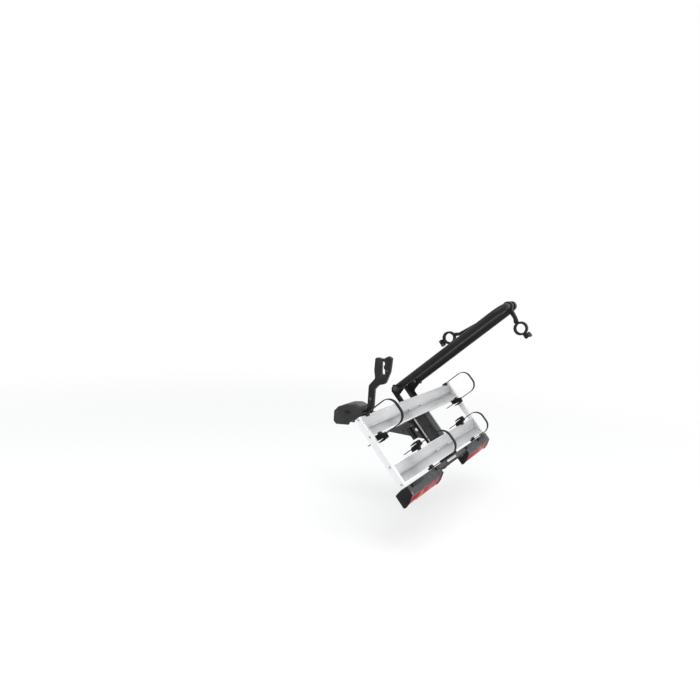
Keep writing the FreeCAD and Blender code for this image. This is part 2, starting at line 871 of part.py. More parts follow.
def make_wheel_tray(label, forward):
    body = new_body(label)
    pad(body, "X", -dim.tray_half, dim.tray_half, [tray_section()])
    holes = [("circle", dim.tray_bolt_side * side, 0, dim.screw_radius + 0.2) for side in (-1, 1)]
    pocket(body, "Z", Size(-1, "(-1)"), dim.tray_height, holes)
    on_platform(body, 0, forward, tray_floor)


# Box-section rails across the trays' ends, with a plug in each open front end
def make_side_rail(label, side):
    body = new_body(label)
    low = tray_top - dim.rail_height
    span = sorted([side * dim.tray_half, side * rail_outside], key=number_of)
    wall = dim.rail_wall
    pad(body, "Y", rail_back, rail_front, [
        box_outline(span[0], low, span[1], tray_top, 1.5),
        box_outline(span[0] + wall, low + wall, span[1] - wall, tray_top - wall),
    ])
    holes = [("circle", y, z, dim.screw_radius) for y, z in rail_screw_places()]
    pocket(body, "X", span[0] - 1, span[1] + 1, holes)
    on_platform(body)


def rail_screw_places():
    height = tray_floor + 11
    places = []
    for centre in (dim.tray_inner, tray_outer):
        places.append((centre - dim.screw_offset, height))
        places.append((centre + dim.screw_offset, height))
    return places


def make_rail_fittings():
    plugs = []
    screws = []
    wall = dim.rail_wall
    low = tray_top - dim.rail_height
    for side in (-1, 1):
        span = sorted([side * dim.tray_half, side * rail_outside], key=number_of)
        plug = new_body("rail_plug")
        pad(plug, "Y", rail_front - 5, rail_front,
            [box_outline(span[0] + wall, low + wall, span[1] - wall, tray_top - wall)])
        pad(plug, "Y", rail_front, rail_front + 3, [box_outline(span[0], low, span[1], tray_top, 2)])
        plugs.append(plug)
        for y, z in rail_screw_places():
            screw = new_body("rail_screw")
            shank = sorted([side * rail_outside, side * (dim.tray_half - 14)], key=number_of)
            head = sorted([side * rail_outside, side * (rail_outside + dim.screw_head)], key=number_of)
            pad(screw, "X", shank[0], shank[1], [("circle", y, z, dim.screw_radius)])
            pad(screw, "X", head[0], head[1], [("circle", y, z, dim.screw_head_radius)])
            screws.append(screw)
    on_platform(group("rail_plugs", plugs))
    on_platform(group("rail_screws", screws))


def make_tray_bolts():
    members = []
    groove = tray_floor + dim.tray_height - dim.tray_valley - dim.groove_deep
    for centre in (dim.tray_inner, tray_outer):
        for side in (-1, 1):
            body = new_body("tray_bolt")
            x = dim.tray_bolt_side * side
            pad(body, "Z", dim.pan_height - 6, groove, [("circle", x, centre, dim.screw_radius)])
            pad(body, "Z", groove, groove + 2.6, [("circle", x, centre, dim.groove_half - 0.2)])
            pad(body, "Z", dim.pan_height - 4.5, dim.pan_height, [hexagon(x, centre, 5)])
            members.append(body)
    on_platform(group("tray_bolts", members))


# Light board: a hollow bar behind the outer tray, with a long lamp at each end
def make_light_bar():
    body = new_body("light_bar")
    front = rail_back
    back = rail_back - dim.bar_deep
    low = tray_top - dim.bar_tall
    wall = dim.bar_wall
    pad(body, "X", -dim.lamp_inner, dim.lamp_inner, [
        box_outline(back, low, front, tray_top, 2),
        box_outline(back + wall, low + wall, front - wall, tray_top - wall),
    ])
    on_platform(body)


# Section of a lamp: a leaning front, and a rear that falls away under the lens
def lamp_back():
    return [
        (rail_back - 32, tray_top),
        (rail_back - 50, tray_top - 36, 30),
        (rail_back - 58, tray_top - dim.lamp_tall),
    ]


def make_lamp(name, side):
    body = new_body(f"lamp_housing_{name}")
    back = lamp_back()
    front = [
        (rail_back - 7, tray_top - dim.lamp_tall, 6),
        (rail_back, tray_top - 30, 20),
        (rail_back, tray_top),
    ]
    inner = side * dim.lamp_inner
    outer = side * rail_outside
    span = sorted([inner, outer], key=number_of)
    pad(body, "X", span[0], span[1], [front + back])
    cap = sorted([outer, side * (rail_outside - dim.lamp_cap)], key=number_of)
    pad(body, "X", cap[0], cap[1], [lamp_lens_section(0)])
    end = sorted([inner, side * (dim.lamp_inner + dim.lamp_cap)], key=number_of)
    pad(body, "X", end[0], end[1], [lamp_lens_section(0)])
    on_platform(body)


# The lens bulges past the housing. An inset of some millimetres leaves a step at the caps.
def lamp_lens_section(inset):
    return lamp_back() + [
        (rail_back - 70 + inset, tray_top - dim.lamp_tall, 3),
        (rail_back - 72 + inset, tray_top - 56, 8),
        (rail_back - 64 + inset, tray_top - 32, 30),
        (rail_back - 44 + inset, tray_top, 5),
    ]


def make_lens(name, side):
    body = new_body(f"lamp_lens_{name}")
    inner = side * (dim.lamp_inner + dim.lamp_cap)
    outer = side * (rail_outside - dim.lamp_cap)
    span = sorted([inner, outer], key=number_of)
    pad(body, "X", span[0], span[1], [lamp_lens_section(2)])
    # The clear window takes the lower outboard corner of the lens.
    inboard = side * (rail_outside - dim.window_long)
    parting = tray_top - dim.lamp_window
    behind = rail_back - 80
    window = sorted([outer + side, inboard], key=number_of)
    lower = box_outline(behind, tray_top - dim.lamp_tall - 1, rail_back, parting)
    pocket(body, "X", window[0], window[1], [lower])
    on_platform(body)
    clear = new_body(f"lamp_clear_{name}")
    span = sorted([outer, inboard], key=number_of)
    pad(clear, "X", span[0], span[1], [lamp_lens_section(2)])
    upper = box_outline(behind, parting, rail_back, tray_top + 1)
    pocket(clear, "X", span[0] - 1, span[1] + 1, [upper])
    return clear


def make_plate_holder():
    body = new_body("plate_holder")
    face = rail_back - dim.bar_deep
    sheet_back = face - dim.plate_sheet
    middle = tray_top - dim.plate_middle
    low = middle - dim.plate_bottom
    high = middle + dim.plate_top
    half = dim.plate_half
    pad(body, "Y", sheet_back, face, [box_outline(-half, low, half, high, 8)])
    lip = 3
    pad(body, "Y", sheet_back - 3, sheet_back, [
        box_outline(-half, low, half, high, 8),
        box_outline(lip - half, low + lip, half - lip, high - lip, 6),
    ])
    on_platform(body)


# Foot latch: a hook that turns on a bracket under the pan, with a cross bar out to a tread
def make_foot_latch():
    bracket = new_body("latch_bracket")
    side = latch_side + dim.latch_sheet + dim.latch_gap
    y = dim.latch_pivot_forward
    z = dim.latch_pivot_up
    outline = [
        (y - 16, dim.pan_height), (y - 10, z - 10, 8), (y + 10, z - 10, 8), (y + 16, dim.pan_height),
    ]
    pad(bracket, "X", -side - 4, -side, [outline])
    pad(bracket, "X", -side, -latch_side, [("circle", y, z, 4)])
    on_platform(bracket)
    hook = new_body("foot_latch")
    outer = -latch_side
    inner = outer - dim.latch_sheet
    reach_y = dim.stud_forward - y
    reach_z = -dim.stud_drop - z
    turn = dim.latch_release
    hole_y = y + reach_y * cosine(turn) - reach_z * sine(turn)
    hole_z = z + reach_y * sine(turn) + reach_z * cosine(turn)
    shape = [
        (y - 35, z - 15, 6),
        (y - 35, z, 6),
        (y - 8, z + 9, 6),
        (y + 16, z + 9, 12),
        (hole_y + 13, hole_z + 13, 10),
        (hole_y + 13, hole_z - 10, 8),
        (hole_y + 2, hole_z - 10, 2),
        (hole_y - 3, hole_z - 2),
        (hole_y - 5, hole_z + 2),
        (y + 10, z - 6, 8),
        (y - 10, z - 9, 6),
    ]
    pad(hook, "X", inner, outer, [shape])
    pocket(hook, "X", inner - 1, outer + 1, [
        ("circle", hole_y, hole_z, dim.stud_radius + 1),
        ("circle", y, z, 4 + dim.run_gap),
    ])
    pad(hook, "X", -dim.pedal_outer, inner, [("circle", y - 28, z - 8, 4)])
    tread = box_outline(y - 86, z - 12, y - 22, z - 4, 2)
    pad(hook, "X", -dim.pedal_outer, -dim.pedal_inner, [tread])
    on_platform(hook)


# Hoop: a bent tube, plugged and cross-bored at its feet
def make_hoop():
    tube = new_body("hoop_tube")
    foot = -dim.hoop_foot
    leg = dim.hoop_leg
    top = dim.hoop_tall
    bend = dim.hoop_bend
    spine = new_sketch(tube, "XZ_Plane", Size(0, "(0)"))
    draw_path(spine, leg, foot, top, bend)
    ring = new_sketch(tube, "XY_Plane", foot)
    draw_circle(ring, -leg, 0, dim.hoop_radius)
    draw_circle(ring, -leg, 0, dim.hoop_radius - dim.hoop_wall)
    pipe = tube.newObject("PartDesign::AdditivePipe", "Pipe")
    pipe.Profile = (ring, [""])
    pipe.Spine = (spine, [""])
    tube.Tip = pipe
    outer = dim.hoop_leg + dim.hoop_radius + 1
    pocket(tube, "X", -outer, outer, [("circle", 0, 0, dim.hoop_bolt_radius + dim.run_gap)])
    on_platform(tube, 0, dim.hoop_forward, dim.hoop_pivot_up)
    plugs = []
    for side in (-1, 1):
        plug = new_body("hoop_plug")
        pad(plug, "Z", foot, foot + 44,
            [("circle", leg * side, 0, dim.hoop_radius - dim.hoop_wall)])
        pad(plug, "Z", foot - 2, foot, [("circle", leg * side, 0, dim.hoop_radius)])
        pocket(plug, "X", -outer, outer, [("circle", 0, 0, dim.hoop_bolt_radius + dim.run_gap)])
        plugs.append(plug)
    on_platform(group("hoop_plugs", plugs), 0, dim.hoop_forward, dim.hoop_pivot_up)


# Spine of the hoop: up one leg, across and down the other, with equal bends
def draw_path(sketch, leg, foot, top, bend):
    x = number_of(leg)
    low = number_of(foot)
    high = number_of(top)
    r = number_of(bend)
    axis = Vector(0, 0, 1)
    left = Part.LineSegment(Vector(-x, low, 0), Vector(-x, high - r, 0))
    left_bend = Part.ArcOfCircle(Part.Circle(Vector(r - x, high - r, 0), axis, r), math.pi / 2, math.pi)
    across = Part.LineSegment(Vector(r - x, high, 0), Vector(x - r, high, 0))
    right_bend = Part.ArcOfCircle(Part.Circle(Vector(x - r, high - r, 0), axis, r), 0, math.pi / 2)
    right = Part.LineSegment(Vector(x, high - r, 0), Vector(x, low, 0))
    ids = [sketch.addGeometry(edge, False) for edge in (left, left_bend, across, right_bend, right)]
    rules = place_point(ids[0], 1, -leg, foot) + place_point(ids[4], 2, leg, foot)
    rules.append((Sketcher.Constraint("Vertical", ids[0]), None))
    rules.append((Sketcher.Constraint("Vertical", ids[4]), None))
    rules.append((Sketcher.Constraint("Tangent", ids[0], 2, ids[1], 2), None))
    rules.append((Sketcher.Constraint("Tangent", ids[1], 1, ids[2], 1), None))
    rules.append((Sketcher.Constraint("Tangent", ids[2], 2, ids[3], 2), None))
    rules.append((Sketcher.Constraint("Tangent", ids[3], 1, ids[4], 1), None))
    rules.append((Sketcher.Constraint("Radius", ids[1], r), bend))
    rules.append((Sketcher.Constraint("Radius", ids[3], r), bend))
    rules.append((Sketcher.Constraint("DistanceY", -1, 1, ids[2], 1, high), top))
    constrain(sketch, rules)


def star(x, y, radius, lobes):
    corners = []
    for k in range(lobes * 2):
        angle = 180 * k / lobes
        reach = radius if k % 2 == 0 else radius - radius / 4
        corners.append((x + reach * cosine(angle), y + reach * sine(angle), radius / 9))
    return corners


# Hoop bolts run out from the pan's ears through the feet to a star knob each side.
def make_hoop_fittings():
    bolts = []
    inner = dim.pan_half - dim.pan_sheet
    knob_face = dim.hoop_leg + dim.hoop_radius + dim.hook_gap
    for side in (-1, 1):
        bolt = new_body("hoop_bolt")
        head = sorted([side * (inner - 6), side * inner], key=number_of)
        shank = sorted([side * inner, side * (knob_face + 10)], key=number_of)
        pad(bolt, "X", head[0], head[1], [hexagon(Size(0, "(0)"), 0, 8.5)])
        pad(bolt, "X", shank[0], shank[1], [("circle", 0, 0, dim.hoop_bolt_radius)])
        bolts.append(bolt)
    on_platform(group("hoop_bolts", bolts), 0, dim.hoop_forward, dim.hoop_pivot_up)
    for name, side in (("left", -1), ("right", 1)):
        knob = new_body(f"hoop_knob_{name}")
        boss = sorted([side * knob_face, side * (knob_face + 8)], key=number_of)
        head = sorted([side * (knob_face + 8), side * (knob_face + dim.knob_width)], key=number_of)
        pad(knob, "X", boss[0], boss[1], [("circle", 0, 0, 12)])
        pad(knob, "X", head[0], head[1], [star(Size(0, "(0)"), Size(0, "(0)"), dim.knob_radius, 6)])
        bore = sorted([side * (knob_face - 1), side * (knob_face + 10.5)], key=number_of)
        pocket(knob, "X", bore[0], bore[1], [("circle", 0, 0, dim.hoop_bolt_radius + dim.run_gap)])
        on_platform(knob, 0, dim.hoop_forward, dim.hoop_pivot_up)


# Frame holder about its collar's axis: an arm towards -Y that ends in a round claw.
# The claw's upper half turns on a pin at the arm's side and is closed by a knob at the far side.
def make_holder(name, side, length, turn):
    half = dim.holder_width / 2
    fork = half / 2
    centre_y = -length
    centre_z = -dim.holder_drop
    pin_y = centre_y + dim.claw_outer + 8
    pin_z = centre_z + 4
    stud_y = centre_y - dim.claw_outer - dim.clamp_knob_radius
    lug_end = stud_y - 8
    place = (side * dim.holder_side, dim.hoop_forward, dim.hoop_pivot_up + dim.hoop_tall, turn)

    arm = new_body(f"holder_arm_{name}")
    claw_half(arm, half, centre_y, centre_z, -1)
    collar_half = dim.collar_width / 2
    beam = [
        (-dim.collar_radius + 4, 9, 2),
        (pin_y + 22, 3, 10),
        (pin_y + 12, 2, 3),
        (pin_y + 12, -14, 3),
        (pin_y + 24, -12, 10),
        (-dim.collar_radius + 4, -11, 2),
    ]
    pad(arm, "X", -collar_half, collar_half, [("circle", 0, 0, dim.collar_radius)])
    pad(arm, "X", -half, half, [beam])
    cheek = [
        (pin_y + 14, 1, 3), (pin_y + 14, -14, 3), (pin_y - 1, centre_z - 8, 5),
        (pin_y - 14, centre_z - 6), (pin_y - 14, centre_z - 0.4), (pin_y - 7, centre_z - 0.4),
        (pin_y - 6, pin_z + 6, 5),
    ]
    pad(arm, "X", fork, half, [cheek])
    pad(arm, "X", -half, -fork, [cheek])
    root = stud_y + dim.stud_width
    lug = box_outline(root, centre_z - 9, centre_y - dim.claw_outer + 2, centre_z - 0.4)
    pad(arm, "X", -half, half, [lug])
    pocket(arm, "X", -collar_half - 1, collar_half + 1,
           [("circle", 0, 0, dim.hoop_radius + dim.run_gap)])
    pocket(arm, "X", -half - 1, half + 1, [("circle", pin_y, pin_z, dim.claw_pin_radius)])
    pin = new_body("claw_pin")
    pad(pin, "X", -half, half, [("circle", pin_y, pin_z, dim.claw_pin_radius)])
    # Two steel tines on the lug stand either side of the knob's stud, open at the tip.
    members = [arm, pin]
    for tine_side in (-1, 1):
        tine = new_body("lug_tine")
        near = tine_side * (dim.stud_width / 2 + dim.stud_play)
        span = sorted([near, tine_side * half], key=number_of)
        pad(tine, "X", span[0], span[1], [[
            (lug_end, centre_z - 9, 1.5), (root, centre_z - 9),
            (root, centre_z - 0.4), (lug_end, centre_z - 0.4, 1.5),
        ]])
        members.append(tine)
    on_platform(group(f"holder_{name}", members), *place)

    claw = new_body(f"claw_{name}")
    claw_half(claw, half, centre_y, centre_z, 1)
    knuckle = fork - 0.4
    relief = ("circle", pin_y, pin_z, 12)
    pocket(claw, "X", knuckle, half + 1, [relief])
    pocket(claw, "X", -half - 1, -knuckle, [relief])
    pad(claw, "X", -knuckle, knuckle, [[
        (pin_y - 13, pin_z + 6, 2), (pin_y - 13, centre_z + 0.4), (pin_y - 5, centre_z + 0.4),
        (pin_y - 5, pin_z - 6, 4), (pin_y + 6, pin_z - 6, 5), (pin_y + 6, pin_z + 6, 5),
    ]])
    lug = box_outline(lug_end, centre_z + 0.4, centre_y - dim.claw_outer + 2, centre_z + 9, 1.5)
    pad(claw, "X", -half, half, [lug])
    pocket(claw, "X", -half - 1, half + 1,
           [("circle", pin_y, pin_z, dim.claw_pin_radius + dim.run_gap)])
    stud_radius = dim.stud_width / 2
    pocket(claw, "Z", centre_z - 1, centre_z + 12, [("circle", 0, stud_y, stud_radius + dim.run_gap)])
    on_platform(claw, *place)

    knob = new_body(f"claw_knob_{name}")
    pad(knob, "Z", centre_z - 13, centre_z + 9.3, [("circle", 0, stud_y, stud_radius)])
    pad(knob, "Z", centre_z + 9.3, centre_z + 22,
        [star(Size(0, "(0)"), stud_y, dim.clamp_knob_radius, 5)])
    on_platform(knob, *place)


# Half of the claw's ring, above or below its split
def claw_half(body, half, centre_y, centre_z, side):
    outer = dim.claw_outer
    pad(body, "X", -half, half, [
        ("circle", centre_y, centre_z, outer),
        ("circle", centre_y, centre_z, dim.claw_inner),
    ])
    split = centre_z + 0.4 * side
    beyond = centre_z - side * (outer + 1)
    span = sorted([split, beyond], key=number_of)
    other_half = box_outline(centre_y - outer - 1, span[0], centre_y + outer + 1, span[1])
    pocket(body, "X", -half - 1, half + 1, [other_half])


# Wheel strap about the tray's centre line: a foot on one rim, an arched band and a buckle on the
# other. facing is 1 where the buckle is towards the front and -1 where it is towards the rear.
def make_strap(name, side, forward, facing, tall):
    half = dim.strap_width / 2
    rim = dim.tray_width / 2
    top = tray_top
    foot_y = -(rim + dim.foot_reach)
    buckle_y = rim + dim.buckle_reach
    thick = dim.strap_thick

    def face(corners):
        return [(corner[0] * facing, *corner[1:]) for corner in corners]

    band = new_body(f"strap_band_{name}")
    crown = top + tall
    bend = dim.strap_bend
    pad(band, "X", -half, half, [face([
        (foot_y - thick / 2, top - 10),
        (foot_y - thick / 2, crown, bend),
        (buckle_y + thick / 2, crown, bend),
        (buckle_y + thick / 2, top - 30 - dim.strap_tail),
        (buckle_y - thick / 2, top - 30 - dim.strap_tail),
        (buckle_y - thick / 2, crown - thick, bend - thick),
        (foot_y + thick / 2, crown - thick, bend - thick),
        (foot_y + thick / 2, top - 10),
    ])])
    on_platform(band, side, forward)

    buckle = new_body("buckle")
    hook = rim + dim.hook_gap
    wide = dim.buckle_half
    pad(buckle, "X", -wide, wide, [face([
        (rim - 8, tray_floor - 7),
        (rim - 8, tray_floor - dim.hook_gap),
        (hook, tray_floor - dim.hook_gap),
        (hook, top + dim.hook_gap),
        (rim - 7, top + dim.hook_gap),
        (rim - 7, top + 5, 2),
        (rim + 5, top + 8, 5),
        (rim + 9, top + 26, 5),
        (rim + 22, top + 26, 6),
        (rim + 25, top + 4, 12),
        (rim + 23, tray_floor, 10),
        (rim + 14, tray_floor - 7, 4),
    ])])
    slot = half + 0.3
    near = facing * (buckle_y - thick / 2 - 0.3)
    far = facing * (buckle_y + thick / 2 + 0.3)
    span = sorted([near, far], key=number_of)
    pocket(buckle, "Z", tray_floor - 10, top + 40, [box_outline(-slot, span[0], slot, span[1])])
    pin_y = (rim + 30) * facing
    pin_z = top + 18
    cheek = face([(rim + 20, top + 24, 2), (rim + 20, top + 10, 2), (rim + 34, top + 12, 4),
                  (rim + 35, top + 24, 5)])
    pad(buckle, "X", dim.buckle_half - 3.6, dim.buckle_half, [cheek])
    pad(buckle, "X", -dim.buckle_half, 3.6 - dim.buckle_half, [cheek])
    pocket(buckle, "X", -wide - 1, wide + 1, [("circle", pin_y, pin_z, 2)])
    pin = new_body("ratchet_pin")
    pad(pin, "X", 1 - wide, wide - 1, [("circle", pin_y, pin_z, 2)])
    foot = new_body("strap_foot")
    pad(foot, "X", -wide, wide, [face([
        (-rim + 8, top + dim.hook_gap),
        (-hook, top + dim.hook_gap),
        (-hook, top - 14),
        (foot_y - 4.5, top - 14, 2),
        (foot_y - 4.5, top + 8, 3),
        (-rim + 8, top + 5, 2),
    ])])
    cut = sorted([facing * (foot_y - thick / 2), facing * (foot_y + thick / 2)], key=number_of)
    pocket(foot, "Z", top - 10, top + 10, [box_outline(-half, cut[0], half, cut[1])])
    on_platform(group(f"strap_buckle_{name}", [buckle, foot, pin]), side, forward)

    lever = new_body(f"strap_ratchet_{name}")
    arm = wide - 4
    pad(lever, "X", -arm, arm, [face([
        (rim + 26.5, top + 23, 3),
        (rim + 36, top + 23, 4),
        (rim + 36, top - 4, 12),
        (rim + 33, top - 24, 2),
        (rim + 29, top - 24, 1.5),
        (rim + 27.5, top + 4, 8),
        (rim + 26, top + 14, 2),
    ])])
    pocket(lever, "X", -arm - 1, arm + 1, [("circle", pin_y, pin_z, 2 + dim.run_gap)])
    on_platform(lever, side, forward)


make_base_arm()
make_ball_socket()
make_coupling_bolts()
make_pins()
make_clamp_jaw()
make_thrust_rod()
make_coupling_lever()
make_safety_catch()
make_lever_lock()
make_coupling_hood()
make_tilt_hinge()
make_hinge_ears()
make_chassis_pan()
make_wheel_tray("wheel_tray_inner", dim.tray_inner)
make_wheel_tray("wheel_tray_outer", tray_outer)
make_side_rail("side_rail_left", -1)
make_side_rail("side_rail_right", 1)
make_rail_fittings()
make_tray_bolts()
make_light_bar()
clear_windows = []
for lamp_name, lamp_side in (("left", -1), ("right", 1)):
    make_lamp(lamp_name, lamp_side)
    clear_windows.append(make_lens(lamp_name, lamp_side))
on_platform(group("lamp_clear", clear_windows))
make_plate_holder()
make_foot_latch()
make_hoop()
make_hoop_fittings()
make_holder("short", -1, dim.holder_short, 0)
make_holder("long", 1, dim.holder_long, dim.long_turn)
make_strap("outer_near", -dim.strap_outer_near, tray_outer, 1, dim.strap_tall_near)
make_strap("outer_far", dim.strap_outer_far, tray_outer, 1, dim.strap_tall_far)
make_strap("inner_near", -inner_strap_side, dim.tray_inner, -1, dim.strap_tall_inner)
make_strap("inner_far", inner_strap_side, dim.tray_inner, -1, dim.strap_tall_inner)

doc.recompute()

# Nothing is written unless every feature worked.
for item in doc.Objects:
    if "Invalid" in item.State or "Error" in item.State:
        raise ValueError(f"{item.Label} failed")
for base, cut in cuts:
    if not cut.Shape.Volume < base.Shape.Volume - 0.01:
        raise ValueError(f"{cut.getParentGeoFeatureGroup().Label}: {cut.Label} cut nothing")
for item in exported:
    if item.Shape.isNull() or not item.Shape.isValid():
        raise ValueError(f"{item.Label} is not a valid shape")
for item in exported:
    item.Shape.exportStep(f"parts/{item.Label}.step")
print(len(exported), "pieces")
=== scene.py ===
import json
import math

import bmesh
import bpy
from mathutils import Matrix, Vector

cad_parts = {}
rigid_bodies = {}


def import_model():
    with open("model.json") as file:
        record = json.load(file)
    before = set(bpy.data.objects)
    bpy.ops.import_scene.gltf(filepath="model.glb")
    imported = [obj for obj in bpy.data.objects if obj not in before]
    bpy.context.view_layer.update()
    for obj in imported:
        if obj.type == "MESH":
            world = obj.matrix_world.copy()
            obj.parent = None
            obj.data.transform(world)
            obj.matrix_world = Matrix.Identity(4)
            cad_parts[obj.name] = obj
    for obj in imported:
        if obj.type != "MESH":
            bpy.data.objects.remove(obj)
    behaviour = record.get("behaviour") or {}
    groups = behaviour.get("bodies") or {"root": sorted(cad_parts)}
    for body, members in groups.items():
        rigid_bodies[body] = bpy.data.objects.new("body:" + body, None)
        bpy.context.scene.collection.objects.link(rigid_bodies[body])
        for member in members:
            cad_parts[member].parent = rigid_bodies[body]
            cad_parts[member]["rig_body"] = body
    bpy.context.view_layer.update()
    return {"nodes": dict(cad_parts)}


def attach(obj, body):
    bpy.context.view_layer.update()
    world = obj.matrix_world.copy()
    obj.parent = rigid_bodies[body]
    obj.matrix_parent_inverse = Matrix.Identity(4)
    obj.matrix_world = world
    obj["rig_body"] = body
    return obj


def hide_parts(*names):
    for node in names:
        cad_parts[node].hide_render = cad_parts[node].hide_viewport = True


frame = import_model()
print("frame loaded,", len(frame["nodes"]), "nodes")

mergeGap = 0.00001
smoothAngle = math.radians(38)
flatAngle = math.radians(0.5)
cornerAngle = math.radians(32)

# The platform is tilted down about its hinge. Its pieces are laid out level, then turned with it.
tilt = math.radians(48)
hingeBack = 0.42
onPlatform = Matrix.Translation((0, -hingeBack, 0)) @ Matrix.Rotation(tilt, 4, "X")


# Camera, floor and light

cameraLook = {
    "place": (-3.1531, -1.5787, 0.7815),
    "yaw": 26.758,  # degrees from the car's right towards its front
    "pitch": 6.921,  # degrees down
    "roll": 3.498,
    "focalPixels": 665.98,
    "frameWidth": 700,
    "sensor": 36.0,
    "farthest": 100,
}


def makeCamera(look):
    yaw, pitch, roll = (math.radians(look[key]) for key in ("yaw", "pitch", "roll"))
    forward = Vector((math.cos(pitch) * math.cos(yaw), math.cos(pitch) * math.sin(yaw), -math.sin(pitch)))
    level = Vector((math.sin(yaw), -math.cos(yaw), 0))
    above = level.cross(forward)
    right = math.cos(roll) * level + math.sin(roll) * above
    up = math.cos(roll) * above - math.sin(roll) * level
    turn = Matrix((right, up, -forward)).transposed().to_4x4()
    data = bpy.data.cameras.new("camera")
    data.sensor_width = look["sensor"]
    data.lens = look["focalPixels"] * look["sensor"] / look["frameWidth"]
    data.clip_end = look["farthest"]
    camera = bpy.data.objects.new("camera", data)
    camera.matrix_world = Matrix.Translation(look["place"]) @ turn
    bpy.context.scene.collection.objects.link(camera)
    bpy.context.scene.camera = camera


makeCamera(cameraLook)

studio = {
    "floorUp": -0.44,  # the ground under a tow ball at its usual height
    "floorForward": -0.5,
    "floorHalf": 14.0,
    "floorColour": (0.9, 0.9, 0.9, 1),
    "fadeSpan": (1.2, 4.5),
    "fade": (0.55, 1.0),
    "white": (1, 1, 1, 1),
    "worldColour": (0.96, 0.98, 1.0, 1),
    "worldStrength": 0.72,
    "lamps": [
        # name, place, aim, size, watts
        ("softboxTop", (-1.6, -1.2, 3.4), (0, -0.5, 0), 3.2, 90),
        ("softboxFront", (-3.0, 1.8, 1.8), (0, -0.4, 0), 2.0, 26),
        ("softboxBack", (2.6, -3.2, 2.2), (0, -0.5, 0), 2.4, 30),
    ],
}


# A shader node with its settings, and constants on its sockets
def addNode(nodes, kind, constants=None, **settings):
    node = nodes.new("ShaderNode" + kind)
    for name, value in settings.items():
        setattr(node, name, value)
    for name, value in (constants or {}).items():
        node.inputs[name].default_value = value
    return node


# Sums on values, which are numbers or sockets
def calculate(nodes, links, operation, *values):
    node = addNode(nodes, "Math", operation=operation)
    for index, value in enumerate(values):
        if isinstance(value, (int, float)):
            node.inputs[index].default_value = value
        else:
            links.new(value, node.inputs[index])
    return node.outputs[0]


def mapRange(nodes, links, value, source, target, **settings):
    spans = {"From Min": source[0], "From Max": source[1], "To Min": target[0], "To Max": target[1]}
    node = addNode(nodes, "MapRange", spans, **settings)
    links.new(value, node.inputs["Value"])
    return node.outputs[0]


# One where a ray comes from the camera, a mirror-like surface or through glass
def seenRays(nodes, links):
    rays = addNode(nodes, "LightPath").outputs
    either = calculate(nodes, links, "MAXIMUM", rays["Is Camera Ray"], rays["Is Glossy Ray"])
    return calculate(nodes, links, "MAXIMUM", either, rays["Is Transmission Ray"])


# The floor is white, takes a soft shadow near the rack and fades to the plain backdrop
def makeFloorFinish(look):
    finish = bpy.data.materials.new("studioFloor")
    finish.use_nodes = True
    nodes, links = finish.node_tree.nodes, finish.node_tree.links
    nodes.clear()
    out, mix = addNode(nodes, "OutputMaterial"), addNode(nodes, "MixShader")
    matt = addNode(nodes, "BsdfDiffuse", {"Color": look["floorColour"]})
    glow = addNode(nodes, "Emission", {"Color": look["white"], "Strength": 1.0})
    reach = addNode(nodes, "VectorMath", operation="LENGTH")
    links.new(addNode(nodes, "TexCoord").outputs["Object"], reach.inputs[0])
    fade = mapRange(nodes, links, reach.outputs["Value"], look["fadeSpan"], look["fade"],
                    interpolation_type="SMOOTHSTEP")
    links.new(calculate(nodes, links, "MULTIPLY", fade, seenRays(nodes, links)), mix.inputs["Fac"])
    links.new(matt.outputs[0], mix.inputs[1])
    links.new(glow.outputs[0], mix.inputs[2])
    links.new(mix.outputs[0], out.inputs["Surface"])
    return finish


def makeFloor(look):
    shape = bmesh.new()
    bmesh.ops.create_grid(shape, x_segments=2, y_segments=2, size=look["floorHalf"])
    bmesh.ops.translate(shape, verts=shape.verts, vec=(0, look["floorForward"], look["floorUp"]))
    mesh = bpy.data.meshes.new("floor")
    shape.to_mesh(mesh)
    shape.free()
    floor = bpy.data.objects.new("floor", mesh)
    bpy.context.scene.collection.objects.link(floor)
    mesh.materials.append(makeFloorFinish(look))


def makeLight(look):
    for name, place, aim, size, watts in look["lamps"]:
        lamp = bpy.data.lights.new(name, "AREA")
        lamp.shape = "SQUARE"
        lamp.size = size
        lamp.energy = watts
        holder = bpy.data.objects.new(name, lamp)
        holder.location = place
        holder.rotation_euler = (Vector(aim) - Vector(place)).to_track_quat("-Z", "Y").to_euler()
        bpy.context.scene.collection.objects.link(holder)
    world = bpy.data.worlds.new("studio")
    bpy.context.scene.world = world
    world.use_nodes = True
    nodes, links = world.node_tree.nodes, world.node_tree.links
    nodes.clear()
    out, mix = addNode(nodes, "OutputWorld"), addNode(nodes, "MixShader")
    light = addNode(nodes, "Background", {"Color": look["worldColour"], "Strength": look["worldStrength"]})
    seen = addNode(nodes, "Background", {"Color": look["white"], "Strength": 1.0})
    links.new(seenRays(nodes, links), mix.inputs["Fac"])
    links.new(light.outputs[0], mix.inputs[1])
    links.new(seen.outputs[0], mix.inputs[2])
    links.new(mix.outputs[0], out.inputs["Surface"])
    bpy.context.scene.view_settings.view_transform = "Standard"


makeFloor(studio)
makeLight(studio)
print("camera, floor and light set")


# Finishes. Each has patchy colour, a fine grain, an uneven gloss and worn edges. The trays also get painted
# shade towards their valleys.

plainLook = {
    "metal": 0, "shine": 0.5, "coat": 0, "coatRough": 0.1, "turn": 0, "stretch": (1, 1, 1), "patch": 14,
    "smear": 38, "grainShade": 0.12, "edge": 0.0008, "wear": 0.3, "bump": 0.2, "bumpDeep": 0.0002,
}
patchStops = (0.32, 0.7)
noiseSpan = (0.3, 0.7)  # most of a noise lies between these
noiseDetail = {"patch": 4, "grain": 3, "smear": 6}
wornSpan = (0.985, 0.9)  # from flat to a worn edge
edgeSamples = 4


